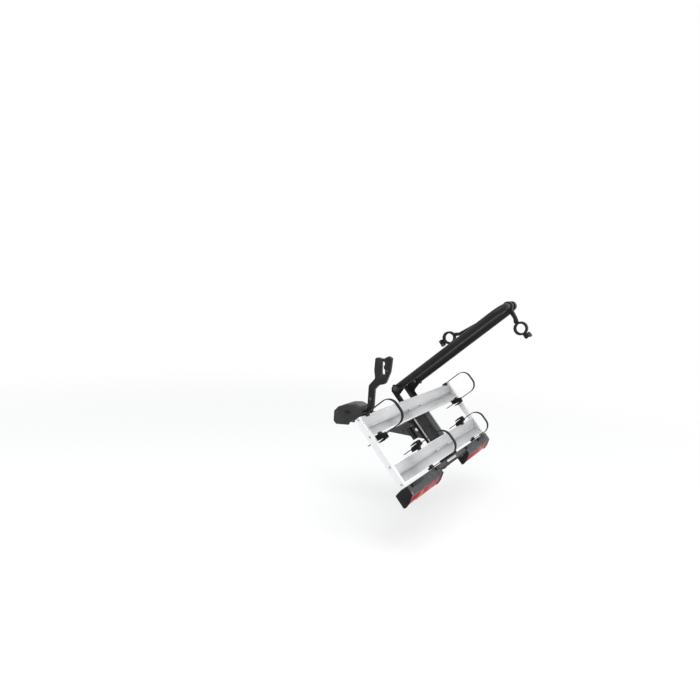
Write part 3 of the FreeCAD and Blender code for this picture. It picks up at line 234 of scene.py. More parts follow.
def noise(nodes, links, vector, look, name):
    node = addNode(nodes, "TexNoise", {"Scale": look[name], "Detail": noiseDetail[name]})
    links.new(vector, node.inputs["Vector"])
    return node.outputs["Fac"]


def tinted(nodes, links, base, shade):
    mix = addNode(nodes, "Mix", {"Factor": 1.0}, data_type="RGBA", blend_type="MULTIPLY")
    links.new(base, mix.inputs["A"])
    links.new(shade, mix.inputs["B"])
    return mix.outputs["Result"]


# Painted shade: darkens the rear of each wheel tray towards its valley, standing in for the shade and dark
# reflection that fall there. The two trays lie one pitch apart.
def paintedCreaseShade(nodes, links, place, look):
    level = addNode(nodes, "Mapping", {"Location": onPlatform.translation, "Rotation": onPlatform.to_euler()},
                    vector_type="TEXTURE")
    parts = addNode(nodes, "SeparateXYZ")
    links.new(place, level.inputs["Vector"])
    links.new(level.outputs["Vector"], parts.inputs[0])
    half = look["pitch"] / 2
    off = calculate(nodes, links, "SUBTRACT", parts.outputs["Y"], look["centre"])
    wrapped = calculate(nodes, links, "WRAP", off, half, -half)
    across = mapRange(nodes, links, wrapped, (-look["half"], look["half"]), (0, 1))
    shade = addNode(nodes, "ValToRGB")
    links.new(across, shade.inputs["Fac"])
    ramp = shade.color_ramp
    for stop in look["stops"][1:-1]:
        ramp.elements.new(stop[0])
    for element, (spot, grey) in zip(ramp.elements, look["stops"]):
        element.position = spot
        element.color = (grey, grey, grey, 1)
    return shade.outputs["Color"]


def makeFinish(name, given):
    look = {**plainLook, **given}
    finish = bpy.data.materials.new(name)
    finish.use_nodes = True
    nodes, links = finish.node_tree.nodes, finish.node_tree.links
    shader = nodes["Principled BSDF"]
    shader.inputs["Metallic"].default_value = look["metal"]
    shader.inputs["Specular IOR Level"].default_value = look["shine"]
    shader.inputs["Coat Weight"].default_value = look["coat"]
    shader.inputs["Coat Roughness"].default_value = look["coatRough"]

    place = addNode(nodes, "TexCoord").outputs["Object"]
    lay = addNode(nodes, "Mapping", {"Rotation": (look["turn"], 0, 0), "Scale": look["stretch"]},
                  vector_type="TEXTURE")
    links.new(place, lay.inputs["Vector"])
    patches = noise(nodes, links, place, look, "patch")
    grain = noise(nodes, links, lay.outputs["Vector"], look, "grain")
    smears = noise(nodes, links, place, look, "smear")

    # patchy colour, which the grain darkens a little in its hollows
    colours = addNode(nodes, "ValToRGB")
    links.new(patches, colours.inputs["Fac"])
    for element, spot, tone in zip(colours.color_ramp.elements, patchStops, (look["dark"], look["light"])):
        element.position = spot
        element.color = (*tone, 1)
    hollows = mapRange(nodes, links, grain, noiseSpan, (1 - look["grainShade"], 1))
    base = tinted(nodes, links, colours.outputs["Color"], hollows)
    # painted shade towards the valleys of the wheel trays
    if "crease" in look:
        base = tinted(nodes, links, base, paintedCreaseShade(nodes, links, place, look["crease"]))

    # rounded edges, and the wear that they take
    edge = addNode(nodes, "Bevel", {"Radius": look["edge"]}, samples=edgeSamples)
    facing, along = addNode(nodes, "NewGeometry"), addNode(nodes, "VectorMath", operation="DOT_PRODUCT")
    links.new(edge.outputs["Normal"], along.inputs[0])
    links.new(facing.outputs["Normal"], along.inputs[1])
    worn = mapRange(nodes, links, along.outputs["Value"], wornSpan, (0, look["wear"]))
    rubbed = addNode(nodes, "Mix", {"B": (*look["bare"], 1)}, data_type="RGBA")
    links.new(calculate(nodes, links, "MULTIPLY", worn, smears), rubbed.inputs["Factor"])
    links.new(base, rubbed.inputs["A"])
    links.new(rubbed.outputs["Result"], shader.inputs["Base Color"])

    links.new(mapRange(nodes, links, smears, noiseSpan, look["rough"]), shader.inputs["Roughness"])
    bump = addNode(nodes, "Bump", {"Strength": look["bump"], "Distance": look["bumpDeep"]})
    links.new(grain, bump.inputs["Height"])
    links.new(edge.outputs["Normal"], bump.inputs["Normal"])
    links.new(bump.outputs[0], shader.inputs["Normal"])
    return finish


# Sizes in metres; grain and patch are noise scales, so 1000 is about a millimetre.
lensRibs = {"grain": 3, "stretch": (0.006, 2, 2), "wear": 0.2, "patch": 24}
finishLooks = {
    "armPowderCoat": {
        "dark": (0.045, 0.045, 0.047), "light": (0.062, 0.062, 0.065), "bare": (0.2, 0.2, 0.21),
        "rough": (0.42, 0.58), "grain": 900, "bump": 0.35, "wear": 0.5, "patch": 9, "shine": 0.3,
    },
    "blackPaint": {
        "dark": (0.007, 0.007, 0.0075), "light": (0.013, 0.013, 0.014), "bare": (0.13, 0.13, 0.14),
        "rough": (0.3, 0.46), "grain": 1100, "bump": 0.3, "wear": 0.5, "patch": 10, "shine": 0.2,
    },
    "leverPaint": {
        "dark": (0.008, 0.008, 0.0085), "light": (0.015, 0.015, 0.016), "bare": (0.12, 0.12, 0.13),
        "rough": (0.28, 0.4), "grain": 1300, "bump": 0.25, "wear": 0.55, "patch": 16, "shine": 0.22,
    },
    "roughCasting": {
        "dark": (0.1, 0.1, 0.105), "light": (0.2, 0.2, 0.2), "bare": (0.4, 0.4, 0.4),
        "rough": (0.45, 0.65), "grain": 320, "bump": 0.6, "bumpDeep": 0.0005, "metal": 0.7, "wear": 0.6,
    },
    "zincPlate": {
        "dark": (0.5, 0.5, 0.5), "light": (0.72, 0.71, 0.68), "bare": (0.85, 0.85, 0.85),
        "rough": (0.24, 0.42), "grain": 700, "metal": 1, "patch": 60, "edge": 0.0005,
    },
    "darkZinc": {
        "dark": (0.09, 0.09, 0.092), "light": (0.15, 0.15, 0.152), "bare": (0.4, 0.4, 0.4),
        "rough": (0.3, 0.45), "grain": 700, "metal": 1, "wear": 0.4, "patch": 60, "edge": 0.0005,
    },
    "dullZinc": {
        "dark": (0.36, 0.36, 0.36), "light": (0.5, 0.5, 0.49), "bare": (0.7, 0.7, 0.7),
        "rough": (0.42, 0.58), "grain": 700, "metal": 0.8, "patch": 60, "edge": 0.0005,
    },
    # the same black paint as blackPaint, a touch darker as painted shade on the pan, and with less shine
    "panPaintShaded": {
        "dark": (0.006, 0.006, 0.0065), "light": (0.011, 0.011, 0.0118), "bare": (0.12, 0.12, 0.125),
        "rough": (0.46, 0.6), "grain": 1100, "bump": 0.35, "wear": 0.5, "patch": 10, "shine": 0.1,
    },
    "trimMoulding": {
        "dark": (0.07, 0.07, 0.074), "light": (0.1, 0.1, 0.105), "bare": (0.22, 0.22, 0.23),
        "rough": (0.4, 0.52), "grain": 1500, "bump": 0.4, "wear": 0.4, "patch": 12, "edge": 0.0012,
        "shine": 0.35,
    },
    "trayAluminium": {
        "dark": (0.6, 0.605, 0.615), "light": (0.72, 0.725, 0.73), "bare": (0.9, 0.9, 0.9),
        "rough": (0.28, 0.4), "grain": 5, "grainShade": 0.16, "bump": 0.25, "metal": 0.75, "wear": 0.4,
        "patch": 5, "turn": tilt, "stretch": (0.8, 0.004, 0.004),
        # painted shade and dark reflection in each tray's valley, as grey levels across it
        "crease": {
            "centre": 0.1, "pitch": 0.242, "half": 0.05,
            "stops": ((0, 1), (0.12, 0.98), (0.34, 0.78), (0.47, 0.5), (0.53, 0.86), (0.62, 1), (1, 1)),
        },
    },
    "railAluminium": {
        "dark": (0.78, 0.78, 0.785), "light": (0.87, 0.87, 0.875), "bare": (0.95, 0.95, 0.95),
        "rough": (0.32, 0.44), "grain": 5, "grainShade": 0.1, "bump": 0.25, "metal": 0.6, "wear": 0.4,
        "patch": 6, "turn": tilt, "stretch": (0.004, 0.8, 0.004),
    },
    "blackMoulding": {
        "dark": (0.0065, 0.0067, 0.0072), "light": (0.012, 0.012, 0.0128), "bare": (0.06, 0.06, 0.065),
        "rough": (0.42, 0.58), "grain": 1900, "bump": 0.35, "wear": 0.4, "edge": 0.0012, "shine": 0.18,
    },
    "hoodMoulding": {
        "dark": (0.018, 0.018, 0.0195), "light": (0.028, 0.028, 0.03), "bare": (0.1, 0.1, 0.105),
        "rough": (0.44, 0.58), "grain": 1500, "bump": 0.4, "wear": 0.45, "patch": 12, "edge": 0.0012,
        "shine": 0.3,
    },
    "greyMoulding": {
        "dark": (0.035, 0.035, 0.038), "light": (0.049, 0.05, 0.054), "bare": (0.16, 0.16, 0.17),
        "rough": (0.4, 0.56), "grain": 1500, "bump": 0.4, "wear": 0.45, "patch": 12, "edge": 0.0012,
        "shine": 0.3,
    },
    # pale paint for the painted highlights along the lamp seams and the pan's top edges
    "paleHighlightPaint": {
        "dark": (0.32, 0.32, 0.325), "light": (0.42, 0.42, 0.425), "bare": (0.6, 0.6, 0.6),
        "rough": (0.4, 0.55), "grain": 1500, "patch": 20, "shine": 0.4,
    },
    "strapMoulding": {
        "dark": (0.006, 0.006, 0.0066), "light": (0.011, 0.011, 0.0118), "bare": (0.06, 0.06, 0.062),
        "rough": (0.36, 0.52), "grain": 1600, "bump": 0.3, "wear": 0.4, "patch": 30, "shine": 0.12,
    },
    "gripRubber": {
        "dark": (0.008, 0.008, 0.0088), "light": (0.015, 0.015, 0.016), "bare": (0.045, 0.045, 0.047),
        "rough": (0.62, 0.8), "grain": 1400, "bump": 0.5, "shine": 0.25,
    },
    "redGlass": {
        **lensRibs, "dark": (0.36, 0.0012, 0.003), "light": (0.58, 0.005, 0.008), "bare": (0.7, 0.04, 0.04),
        "rough": (0.26, 0.38), "grainShade": 0.14, "bump": 0.06, "shine": 0.03,
    },
    "amberGlass": {
        **lensRibs, "dark": (0.66, 0.08, 0.006), "light": (0.8, 0.14, 0.01), "bare": (0.9, 0.3, 0.06),
        "rough": (0.26, 0.38), "grainShade": 0.14, "bump": 0.06, "stretch": (0.005, 2, 2), "shine": 0.03,
    },
    "rosyGlass": {
        **lensRibs, "dark": (0.5, 0.17, 0.17), "light": (0.64, 0.3, 0.29), "bare": (0.8, 0.6, 0.6),
        "rough": (0.12, 0.2), "grainShade": 0.16, "bump": 0.1, "coat": 0.15, "coatRough": 0.08, "shine": 0.2,
    },
    "clearGlass": {
        **lensRibs, "dark": (0.5, 0.51, 0.505), "light": (0.64, 0.65, 0.645), "bare": (0.85, 0.85, 0.85),
        "rough": (0.1, 0.18), "grainShade": 0.25, "bump": 0.3, "coat": 0.3, "coatRough": 0.06, "shine": 0.3,
    },
}
finishes = {name: makeFinish(name, look) for name, look in finishLooks.items()}
print("finishes made:", len(finishes))


# Turns a shape into a piece that rides on a body
def finishPiece(name, shape, finish, body, place=None):
    if place is not None:
        bmesh.ops.transform(shape, matrix=place, verts=shape.verts)
    mesh = bpy.data.meshes.new(name)
    shape.to_mesh(mesh)
    shape.free()
    mesh.shade_smooth()
    mesh.set_sharp_from_angle(angle=smoothAngle)
    mesh.materials.append(finishes[finish])
    piece = bpy.data.objects.new(name, mesh)
    bpy.context.scene.collection.objects.link(piece)
    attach(piece, body)
    return piece


# CAD solids that keep their shape. The first list gets softened edges in a copy that stands for the node.
strapSpots = ("outer_near", "outer_far", "inner_near", "inner_far")
softened = {
    # finish: rounding, nodes
    "armPowderCoat": (0.0012, ["base_arm"]),
    "hoodMoulding": (0.0012, ["coupling_hood"]),
    "leverPaint": (0.0022, ["coupling_lever"]),
    "blackPaint": (0.0007, ["hinge_ears", "foot_latch", "latch_bracket", "hoop_tube"]),
    "panPaintShaded": (0.0007, ["chassis_pan"]),
    "trimMoulding": (0.0012, ["hood_trim"]),
    "trayAluminium": (0.0005, ["wheel_tray_inner", "wheel_tray_outer"]),
    "railAluminium": (0.0008, ["side_rail_left", "side_rail_right"]),
    "blackMoulding": (0.0009, ["rail_plugs", "plate_holder", "hoop_knob_left", "hoop_knob_right",
                               "holder_short", "holder_long", "claw_short", "claw_long", "hoop_plugs"]),
    "strapMoulding": (0.0006, [f"strap_{part}_{spot}" for part in ("band", "buckle", "ratchet")
                               for spot in strapSpots]),
    "greyMoulding": (0.0012, ["lamp_housing_left", "lamp_housing_right", "light_bar", "claw_knob_short",
                              "claw_knob_long"]),
    "redGlass": (0.0012, ["lamp_lens_left", "lamp_lens_right"]),
    "rosyGlass": (0.001, ["lamp_clear"]),
    "gripRubber": (0.0005, ["safety_catch"]),
    "zincPlate": (0.0005, ["hinge_bolt"]),
    "dullZinc": (0.0005, ["rail_screws", "tray_bolts", "lever_pin"]),
    "darkZinc": (0.0005, ["coupling_bolts", "hoop_bolts", "lever_lock", "jaw_pin"]),
    "roughCasting": (0.0012, ["ball_socket", "clamp_jaw"]),
}
kept = {
    "zincPlate": ["hinge_sleeve", "thrust_rod"],
    "dullZinc": ["catch_pin"],
    "darkZinc": ["stop_pin", "latch_stud"],
}


def bevelEdges(shape, edges, width, steps=2):
    bmesh.ops.bevel(shape, geom=edges, offset=width, offset_type="OFFSET", segments=steps, profile=0.5,
                    affect="EDGES", clamp_overlap=True, material=-1)


# A node's mesh with its loose triangles joined, to cut or soften
def mergedCopy(node):
    shape = bmesh.new()
    shape.from_mesh(frame["nodes"][node].data)
    bmesh.ops.remove_doubles(shape, verts=shape.verts, dist=mergeGap)
    return shape


def softenNode(node, finish, width):
    shape = mergedCopy(node)
    bmesh.ops.dissolve_limit(shape, angle_limit=flatAngle, verts=shape.verts, edges=shape.edges)
    corners = [edge for edge in shape.edges
               if edge.is_manifold and edge.calc_face_angle() > cornerAngle]
    bevelEdges(shape, corners, width)
    piece = finishPiece("soft_" + node, shape, finish, frame["nodes"][node]["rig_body"])
    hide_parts(node)


for finish, (width, members) in softened.items():
    for node in members:
        softenNode(node, finish, width)
for finish, members in kept.items():
    for node in members:
        part = frame["nodes"][node]
        part.data.materials.clear()
        part.data.materials.append(finishes[finish])
print("CAD pieces dressed")


# Small shapes that the details are built from. With a place, what was added is moved there.

def added(shape, before):
    return [vert for vert in shape.verts if vert not in before]


def settle(shape, before, place):
    if place is not None:
        bmesh.ops.transform(shape, matrix=place, verts=added(shape, before))


def edgesOf(verts):
    return list(dict.fromkeys(edge for vert in verts for edge in vert.link_edges))


def facesOf(verts):
    return list(dict.fromkeys(face for vert in verts for face in vert.link_faces))


def addBlock(shape, low, high, soft=0, place=None):
    before = set(shape.verts)
    low, high = Vector(low), Vector(high)
    fit = Matrix.Translation((low + high) / 2) @ Matrix.Diagonal((*(high - low), 1))
    made = bmesh.ops.create_cube(shape, size=1, matrix=fit)["verts"]
    if soft:
        bevelEdges(shape, edgesOf(made), soft)
    settle(shape, before, place)


def addRod(shape, start, end, radius, tip=None, sides=24, place=None):
    before = set(shape.verts)
    start, end = Vector(start), Vector(end)
    along = end - start
    fit = Matrix.Translation((start + end) / 2) @ along.to_track_quat("Z", "Y").to_matrix().to_4x4()
    bmesh.ops.create_cone(shape, cap_ends=True, segments=sides, radius1=radius,
                          radius2=radius if tip is None else tip, depth=along.length, matrix=fit)
    settle(shape, before, place)


# A ring about the X axis through centre, with a section turned from a small circle
def addRing(shape, centre, reach, thick, wide, sides=8, steps=36, place=None):
    before = set(shape.verts)
    centre = Vector(centre)
    fit = (Matrix.Translation(centre + Vector((0, reach, 0))) @ Matrix.Diagonal((wide, thick, 1, 1))
           @ Matrix.Rotation(math.pi / sides, 4, "Z"))
    section = bmesh.ops.create_circle(shape, segments=sides, radius=1, matrix=fit)["verts"]
    bmesh.ops.spin(shape, geom=edgesOf(section), cent=centre, axis=(1, 0, 0), dvec=(0, 0, 0),
                   angle=2 * math.pi, steps=steps, use_merge=True, use_duplicate=False)
    bmesh.ops.recalc_face_normals(shape, faces=facesOf(added(shape, before)))
    settle(shape, before, place)


# Part of a ring about the X axis: a flat bar bent round from one angle to another
def addArc(shape, centre, inner, outer, half, start, end, steps=20, place=None):
    before = set(shape.verts)
    centre = Vector(centre)
    middle = (inner + outer) / 2
    fit = (Matrix.Translation(centre) @ Matrix.Rotation(start, 4, "X") @ Matrix.Translation((0, middle, 0))
           @ Matrix.Diagonal((2 * half, outer - inner, 1, 1)) @ Matrix.Rotation(math.pi / 4, 4, "Z"))
    section = bmesh.ops.create_circle(shape, cap_ends=True, segments=4, radius=math.sqrt(0.5),
                                      matrix=fit)["verts"]
    bmesh.ops.spin(shape, geom=section + edgesOf(section) + facesOf(section), cent=centre, axis=(1, 0, 0),
                   dvec=(0, 0, 0), angle=end - start, steps=steps, use_merge=False, use_duplicate=False)
    bmesh.ops.recalc_face_normals(shape, faces=facesOf(added(shape, before)))
    settle(shape, before, place)


# Pan-head screws stand on a face, out along a direction, each with a round socket. Tip and rim are shares
# of the radius, and the socket is a share of the height.
screwForm = {"sides": 20, "tip": 0.86, "rim": 0.4, "socket": 0.6}


def addScrew(shape, foot, out, radius, tall, place=None):
    before = set(shape.verts)
    foot, out = Vector(foot), Vector(out).normalized()
    addRod(shape, foot, foot + out * tall, radius, tip=radius * screwForm["tip"], sides=screwForm["sides"])
    cap = max(facesOf(added(shape, before)), key=lambda face: face.calc_center_median().dot(out))
    bmesh.ops.inset_region(shape, faces=[cap], thickness=radius * screwForm["rim"], depth=0)
    bmesh.ops.translate(shape, verts=list(cap.verts), vec=-out * tall * screwForm["socket"])
    settle(shape, before, place)


# A row of small overlapping drops, as a weld leaves. Every second one is a little wider.
weldForm = {"spacing": 0.9, "narrow": 0.92}


def addWeld(shape, start, end, radius, place):
    before = set(shape.verts)
    start, end = Vector(start), Vector(end)
    count = max(2, round((end - start).length / (radius * weldForm["spacing"])))
    for step in range(count + 1):
        spot = start.lerp(end, step / count)
        long = radius if step % 2 else radius * weldForm["narrow"]
        fit = Matrix.Translation(spot) @ Matrix.Diagonal((radius, long, radius, 1))
        bmesh.ops.create_icosphere(shape, subdivisions=1, radius=1, matrix=fit)
    settle(shape, before, place)


# A band cut from a node between two planes across X, grown a little so that it stands proud. With a
# lowest height above the level platform, only what lies higher is left.
def cutBand(node, low, high, grow, lowest=None):
    shape = mergedCopy(node)
    cuts = [((low, 0, 0), (-1, 0, 0)), ((high, 0, 0), (1, 0, 0))]
    if lowest is not None:
        down = onPlatform.to_3x3() @ Vector((0, 0, -1))
        cuts.append((onPlatform @ Vector((0, 0, lowest)), down))
    for place, way in cuts:
        bmesh.ops.bisect_plane(shape, geom=list(shape.verts) + list(shape.edges) + list(shape.faces),
                               plane_co=place, plane_no=way, clear_outer=True)
        rim = [edge for edge in shape.edges if edge.is_boundary]
        bmesh.ops.holes_fill(shape, edges=rim, sides=0)
    bmesh.ops.recalc_face_normals(shape, faces=shape.faces)
    shape.normal_update()
    for vert in shape.verts:
        push = vert.normal.copy()
        push.x = 0
        vert.co += push * grow
    return shape


# Wheel straps: ladder ribs along each band and ridges on each ratchet

strapLook = {
    "rim": 0.05, "footReach": 0.0055, "buckleReach": 0.016, "thick": 0.003, "bend": 0.048,
    "trayTop": 0.054, "footUp": 0.011, "tailEnd": -0.025, "pitch": 0.0052,
    "rib": (0.008, 0.0012, 0.0008), "ribSunk": 0.0003, "ribSoft": 0.0004,
    "inBuckle": (0.018, 0.084),  # no ribs where the band runs through its buckle
    "ratchetReach": 0.036, "ridges": 6, "ridgeUp": 0.002, "ridgePitch": 0.0042, "ridgeLean": 0.0028,
    "ridge": (0.009, 0.0011), "ridgeSoft": 0.0006,
    # name: side, tray centre, facing, crown
    "straps": {
        "outer_near": (-0.28, -0.142, 1, 0.17), "outer_far": (0.38, -0.142, 1, 0.126),
        "inner_near": (-0.53, 0.1, -1, 0.15), "inner_far": (0.53, 0.1, -1, 0.15),
    },
}


# Places along the outer face of a band, each with the way it faces, measured from +Y towards +Z. The
# band goes up, round a bend, across the wheel, round a second bend and down through the buckle.
def strapWalk(look, tall):
    first = -(look["rim"] + look["footReach"]) - look["thick"] / 2
    last = look["rim"] + look["buckleReach"] + look["thick"] / 2
    low, crown = look["trayTop"] + look["footUp"], look["trayTop"] + tall
    bend, quarter = look["bend"], math.pi / 2
    shoulder = crown - bend
    path = [
        # length, start or centre, the way it runs, the way it faces
        (shoulder - low, (first, low), (0, 1), math.pi),
        (bend * quarter, (first + bend, shoulder), None, math.pi),
        (last - first - 2 * bend, (first + bend, crown), (1, 0), quarter),
        (bend * quarter, (last - bend, shoulder), None, quarter),
        (shoulder - look["tailEnd"], (last, shoulder), (0, -1), 0),
    ]
    spots = []
    for step in range(int(sum(part[0] for part in path) / look["pitch"])):
        reach = (step + 0.5) * look["pitch"]
        for length, (y, z), run, angle in path:
            if reach < length:
                break
            reach -= length
        if run is None:
            angle -= reach / bend
            spots.append((y + bend * math.cos(angle), z + bend * math.sin(angle), angle))
        else:
            spots.append((y + run[0] * reach, z + run[1] * reach, angle))
    return spots


def makeStraps(look):
    half, along, tallRib = look["rib"]
    low, high = look["inBuckle"]
    for name, (side, centre, facing, tall) in look["straps"].items():
        shape = bmesh.new()
        for y, z, angle in strapWalk(look, tall):
            if y > look["rim"] and low < z < high:
                continue
            if facing < 0:
                angle = math.pi - angle
            place = (onPlatform @ Matrix.Translation((side, centre + facing * y, z))
                     @ Matrix.Rotation(angle - math.pi / 2, 4, "X"))
            addBlock(shape, (-half, -along, -look["ribSunk"]), (half, along, tallRib), look["ribSoft"], place)
        finishPiece(f"strapRibs_{name}", shape, "strapMoulding", f"strap_{name}")
        makeRatchet(look, name, side, centre, facing)


def makeRatchet(look, name, side, centre, facing):
    shape = bmesh.new()
    wide, half = look["ridge"]
    outer = look["rim"] + look["ratchetReach"]
    last = look["ridges"] - 1
    for step in range(look["ridges"]):
        z = look["trayTop"] + look["ridgeUp"] - step * look["ridgePitch"]
        y = centre + facing * (outer - look["ridgeLean"] * max(0, step - 1) / last)
        addBlock(shape, (side - wide, y - half, z - half), (side + wide, y + half, z + half),
                 look["ridgeSoft"], onPlatform)
    finishPiece(f"ratchetRidges_{name}", shape, "gripRubber", f"ratchet_{name}")


makeStraps(strapLook)
print("straps detailed")


# Lamps: a brow of the housing over each lens, sections of the lens, black dividers and end shades, pale
# strips along the seams and a rosy band on the lens by the end cap as painted highlight, screws in the
# housing

lampLook = {
    "amber": (0.432, 0.483), "amberProud": 0.0003,
    # rim: a band of the lens by the end cap, painted highlight
    "rim": (0.5825, 0.589), "rimHighlightProud": 0.0012,
    "brow": (0.2155, 0.5875), "browLow": 0.0395, "browProud": 0.0009,
    "dividers": (0.4832, 0.4318, 0.398, 0.262), "dividerHalf": 0.0011,
    # the seams are pale strips by the end caps: painted highlight
    "seamHighlight": (0.585, 0.589), "innerSeamHighlight": (0.214, 0.2154), "proud": 0.0005,
    "cap": (0.589, 0.603), "innerCap": (0.2, 0.214),
    "screws": (0.285, 0.345, 0.405, 0.575), "screwBack": -0.2125, "screwUp": 0.0538,
    "screw": (0.0034, 0.0016),
}


def makeLamps(look):
    for name, side in (("left", -1), ("right", 1)):
        lens, housing = f"lamp_lens_{name}", f"lamp_housing_{name}"

        def band(node, near, far, grow, lowest=None):
            low, high = sorted((side * near, side * far))
            return cutBand(node, low, high, grow, lowest)

        shape = band(lens, *look["amber"], look["amberProud"])
        finishPiece(f"amberWindow_{name}", shape, "amberGlass", "platform")
        # a pale rosy band on the lens next to the end cap: painted highlight
        shape = band(lens, *look["rim"], look["rimHighlightProud"])
        finishPiece(f"lensRimHighlight_{name}", shape, "rosyGlass", "platform")
        shape = band(lens, *look["brow"], look["browProud"], look["browLow"])
        finishPiece(f"lampBrow_{name}", shape, "greyMoulding", "platform")
        half = look["dividerHalf"]
        for index, reach in enumerate(look["dividers"]):
            shape = band(lens, reach - half, reach + half, look["proud"])
            finishPiece(f"lensDivider_{name}_{index + 1}", shape, "blackMoulding", "platform")
        # pale strips by each end cap: painted highlight along the seam between cap and housing
        for index, key in enumerate(("seamHighlight", "innerSeamHighlight")):
            shape = band(housing, *look[key], look["proud"])
            finishPiece(f"lampSeamHighlight_{name}_{index + 1}", shape, "paleHighlightPaint", "platform")
        for key in ("cap", "innerCap"):
            shape = band(housing, *look[key], look["proud"])
            middle = sum(look[key]) / 2 * side
            for vert in shape.verts:
                vert.co.x += math.copysign(look["proud"], vert.co.x - middle)
            finishPiece(f"lampShade_{name}_{key}", shape, "blackMoulding", "platform")
        shape = bmesh.new()
        for reach in look["screws"]:
            addScrew(shape, (side * reach, look["screwBack"], look["screwUp"]), (0, 0, 1), *look["screw"],
                     onPlatform)
        finishPiece(f"lampScrews_{name}", shape, "darkZinc", "platform")


makeLamps(lampLook)


# Light board: a plate lamp on the bar, brackets and pads along its front, clips round the plate panel

boardLook = {
    # low corner, high corner and rounding on the level platform
    "plateLampBase": ((-0.101, -0.223, 0.053), (0.041, -0.206, 0.0562), 0.0008),
    "plateLampLens": ((-0.095, -0.22, 0.0555), (0.035, -0.2085, 0.0585), 0.0012),
    "top": 0.054, "sunk": 0.001,
    "brackets": (-0.235, 0.235), "bracketHalf": 0.018, "bracketTall": 0.005, "bracketSoft": 0.0012,
    "cornerPads": (0.43, 0.556), "padTall": 0.009, "padSoft": 0.0016,
    "padSpan": (-0.2195, -0.2036),  # stays behind the outer straps, which slide past
    "bracketScrews": 0.009, "bracketScrew": (0.0032, 0.0016),
    "panelFace": -0.232,
    "clips": ((0.13, -0.056), (0.13, 0.05), (0.04, -0.056)), "clipHalf": 0.012,
    "clipTall": (0.001, 0.012), "clipDeep": (-0.0036, 0.001), "clipSoft": 0.001,
    "plateScrews": (0.15, (-0.03, 0.024)), "plateScrewSet": 0.0035, "plateScrew": (0.005, 0.003),
}


def makePlateLamp(look):
    for name, finish in (("plateLampBase", "blackMoulding"), ("plateLampLens", "clearGlass")):
        shape = bmesh.new()
        addBlock(shape, *look[name], onPlatform)
        finishPiece(name, shape, finish, "platform")


def makeBrackets(look):
    half, floor = look["bracketHalf"], look["top"] - look["sunk"]
    back, front = look["padSpan"]
    raised = look["top"] + look["bracketTall"]
    shape = bmesh.new()
    for middle in look["brackets"]:
        addBlock(shape, (middle - half, back, floor), (middle + half, front, raised), look["bracketSoft"],
                 onPlatform)
    for side in (-1, 1):
        low, high = sorted(side * reach for reach in look["cornerPads"])
        addBlock(shape, (low, back, floor), (high, front, look["top"] + look["padTall"]), look["padSoft"],
                 onPlatform)
    finishPiece("trayBrackets", shape, "blackMoulding", "platform")
    shape = bmesh.new()
    for middle in look["brackets"]:
        for x in (middle - look["bracketScrews"], middle + look["bracketScrews"]):
            addScrew(shape, (x, (back + front) / 2, raised), (0, 0, 1), *look["bracketScrew"], onPlatform)
    finishPiece("bracketScrews", shape, "darkZinc", "platform")


def makePlateHolder(look):
    face, half = look["panelFace"], look["clipHalf"]
    deepBack, deepFront = look["clipDeep"]
    shape = bmesh.new()
    for side in (-1, 1):
        for reach, edge in look["clips"]:
            way = 1 if edge > 0 else -1
            low, high = sorted(edge - way * inward for inward in look["clipTall"])
            addBlock(shape, (side * reach - half, face + deepBack, low),
                     (side * reach + half, face + deepFront, high), look["clipSoft"], onPlatform)
    finishPiece("plateClips", shape, "greyMoulding", "platform")
    shape = bmesh.new()
    reach, heights = look["plateScrews"]
    for side in (-1, 1):
        for z in heights:
            addScrew(shape, (side * reach, face + look["plateScrewSet"], z), (0, -1, 0), *look["plateScrew"],
                     onPlatform)
    finishPiece("plateScrews", shape, "blackMoulding", "platform")


makePlateLamp(boardLook)
makeBrackets(boardLook)
makePlateHolder(boardLook)
print("light board detailed")


# Pan: pale strips along the top edges of its walls as painted highlight, weld beads along the hinge ears,
# spot welds, grommets, and lighter sheets inside the side walls as painted light on their inner faces

panLook = {
    "half": 0.106, "sheet": 0.003, "low": 0.027, "top": 0.045,
    # pale strips on the pan's top edges are painted highlight; their span along the pan also holds the
    # lighter sheets
    "paintedLightSpan": (-0.0905, 0.0485), "highlightWide": 0.0072, "highlightTall": 0.0012, "highlightSunk": 0.004,
    "highlightSoft": 0.0012,
    "weldFaces": (0.0452, 0.0398), "weldSpan": (-0.036, 0.05), "weldDrop": 0.0002, "weld": 0.0022,
    "spots": (-0.07, -0.035, 0.0, 0.035, 0.17), "spotUp": 0.036, "spotSunk": 0.0004, "spotProud": 0.0005,
    "spot": (0.0032, 0.0026), "spotSides": 18,
    "grommets": ((-0.052, -0.0205), (0.052, -0.0205)), "grommet": 0.0085, "grommetSunk": 0.0008,
    "grommetProud": 0.0012, "grommetSides": 36, "grommetBead": (0.0016, 0.0018),
    # lighter sheets inside the side walls: painted light where the walls' inner faces catch the light
    "litBand": (0.0715, 0.1025), "litBandLean": 22, "litBandSheet": 0.001, "litBandSoft": 0.0004,
}


def makePanWelds(look):
    under = look["low"] - look["weldDrop"]
    back, front = look["weldSpan"]
    shape = bmesh.new()
    for side in (-1, 1):
        for face in look["weldFaces"]:
            addWeld(shape, (side * face, back, under), (side * face, front, under), look["weld"], onPlatform)
    finishPiece("earWelds", shape, "blackPaint", "platform")
    radius, tip = look["spot"]
    inner, outer = look["half"] - look["spotSunk"], look["half"] + look["spotProud"]
    shape = bmesh.new()
    for side in (-1, 1):
        for y in look["spots"]:
            addRod(shape, (side * inner, y, look["spotUp"]), (side * outer, y, look["spotUp"]), radius,
                   tip=tip, sides=look["spotSides"], place=onPlatform)
    finishPiece("spotWelds", shape, "blackPaint", "platform")


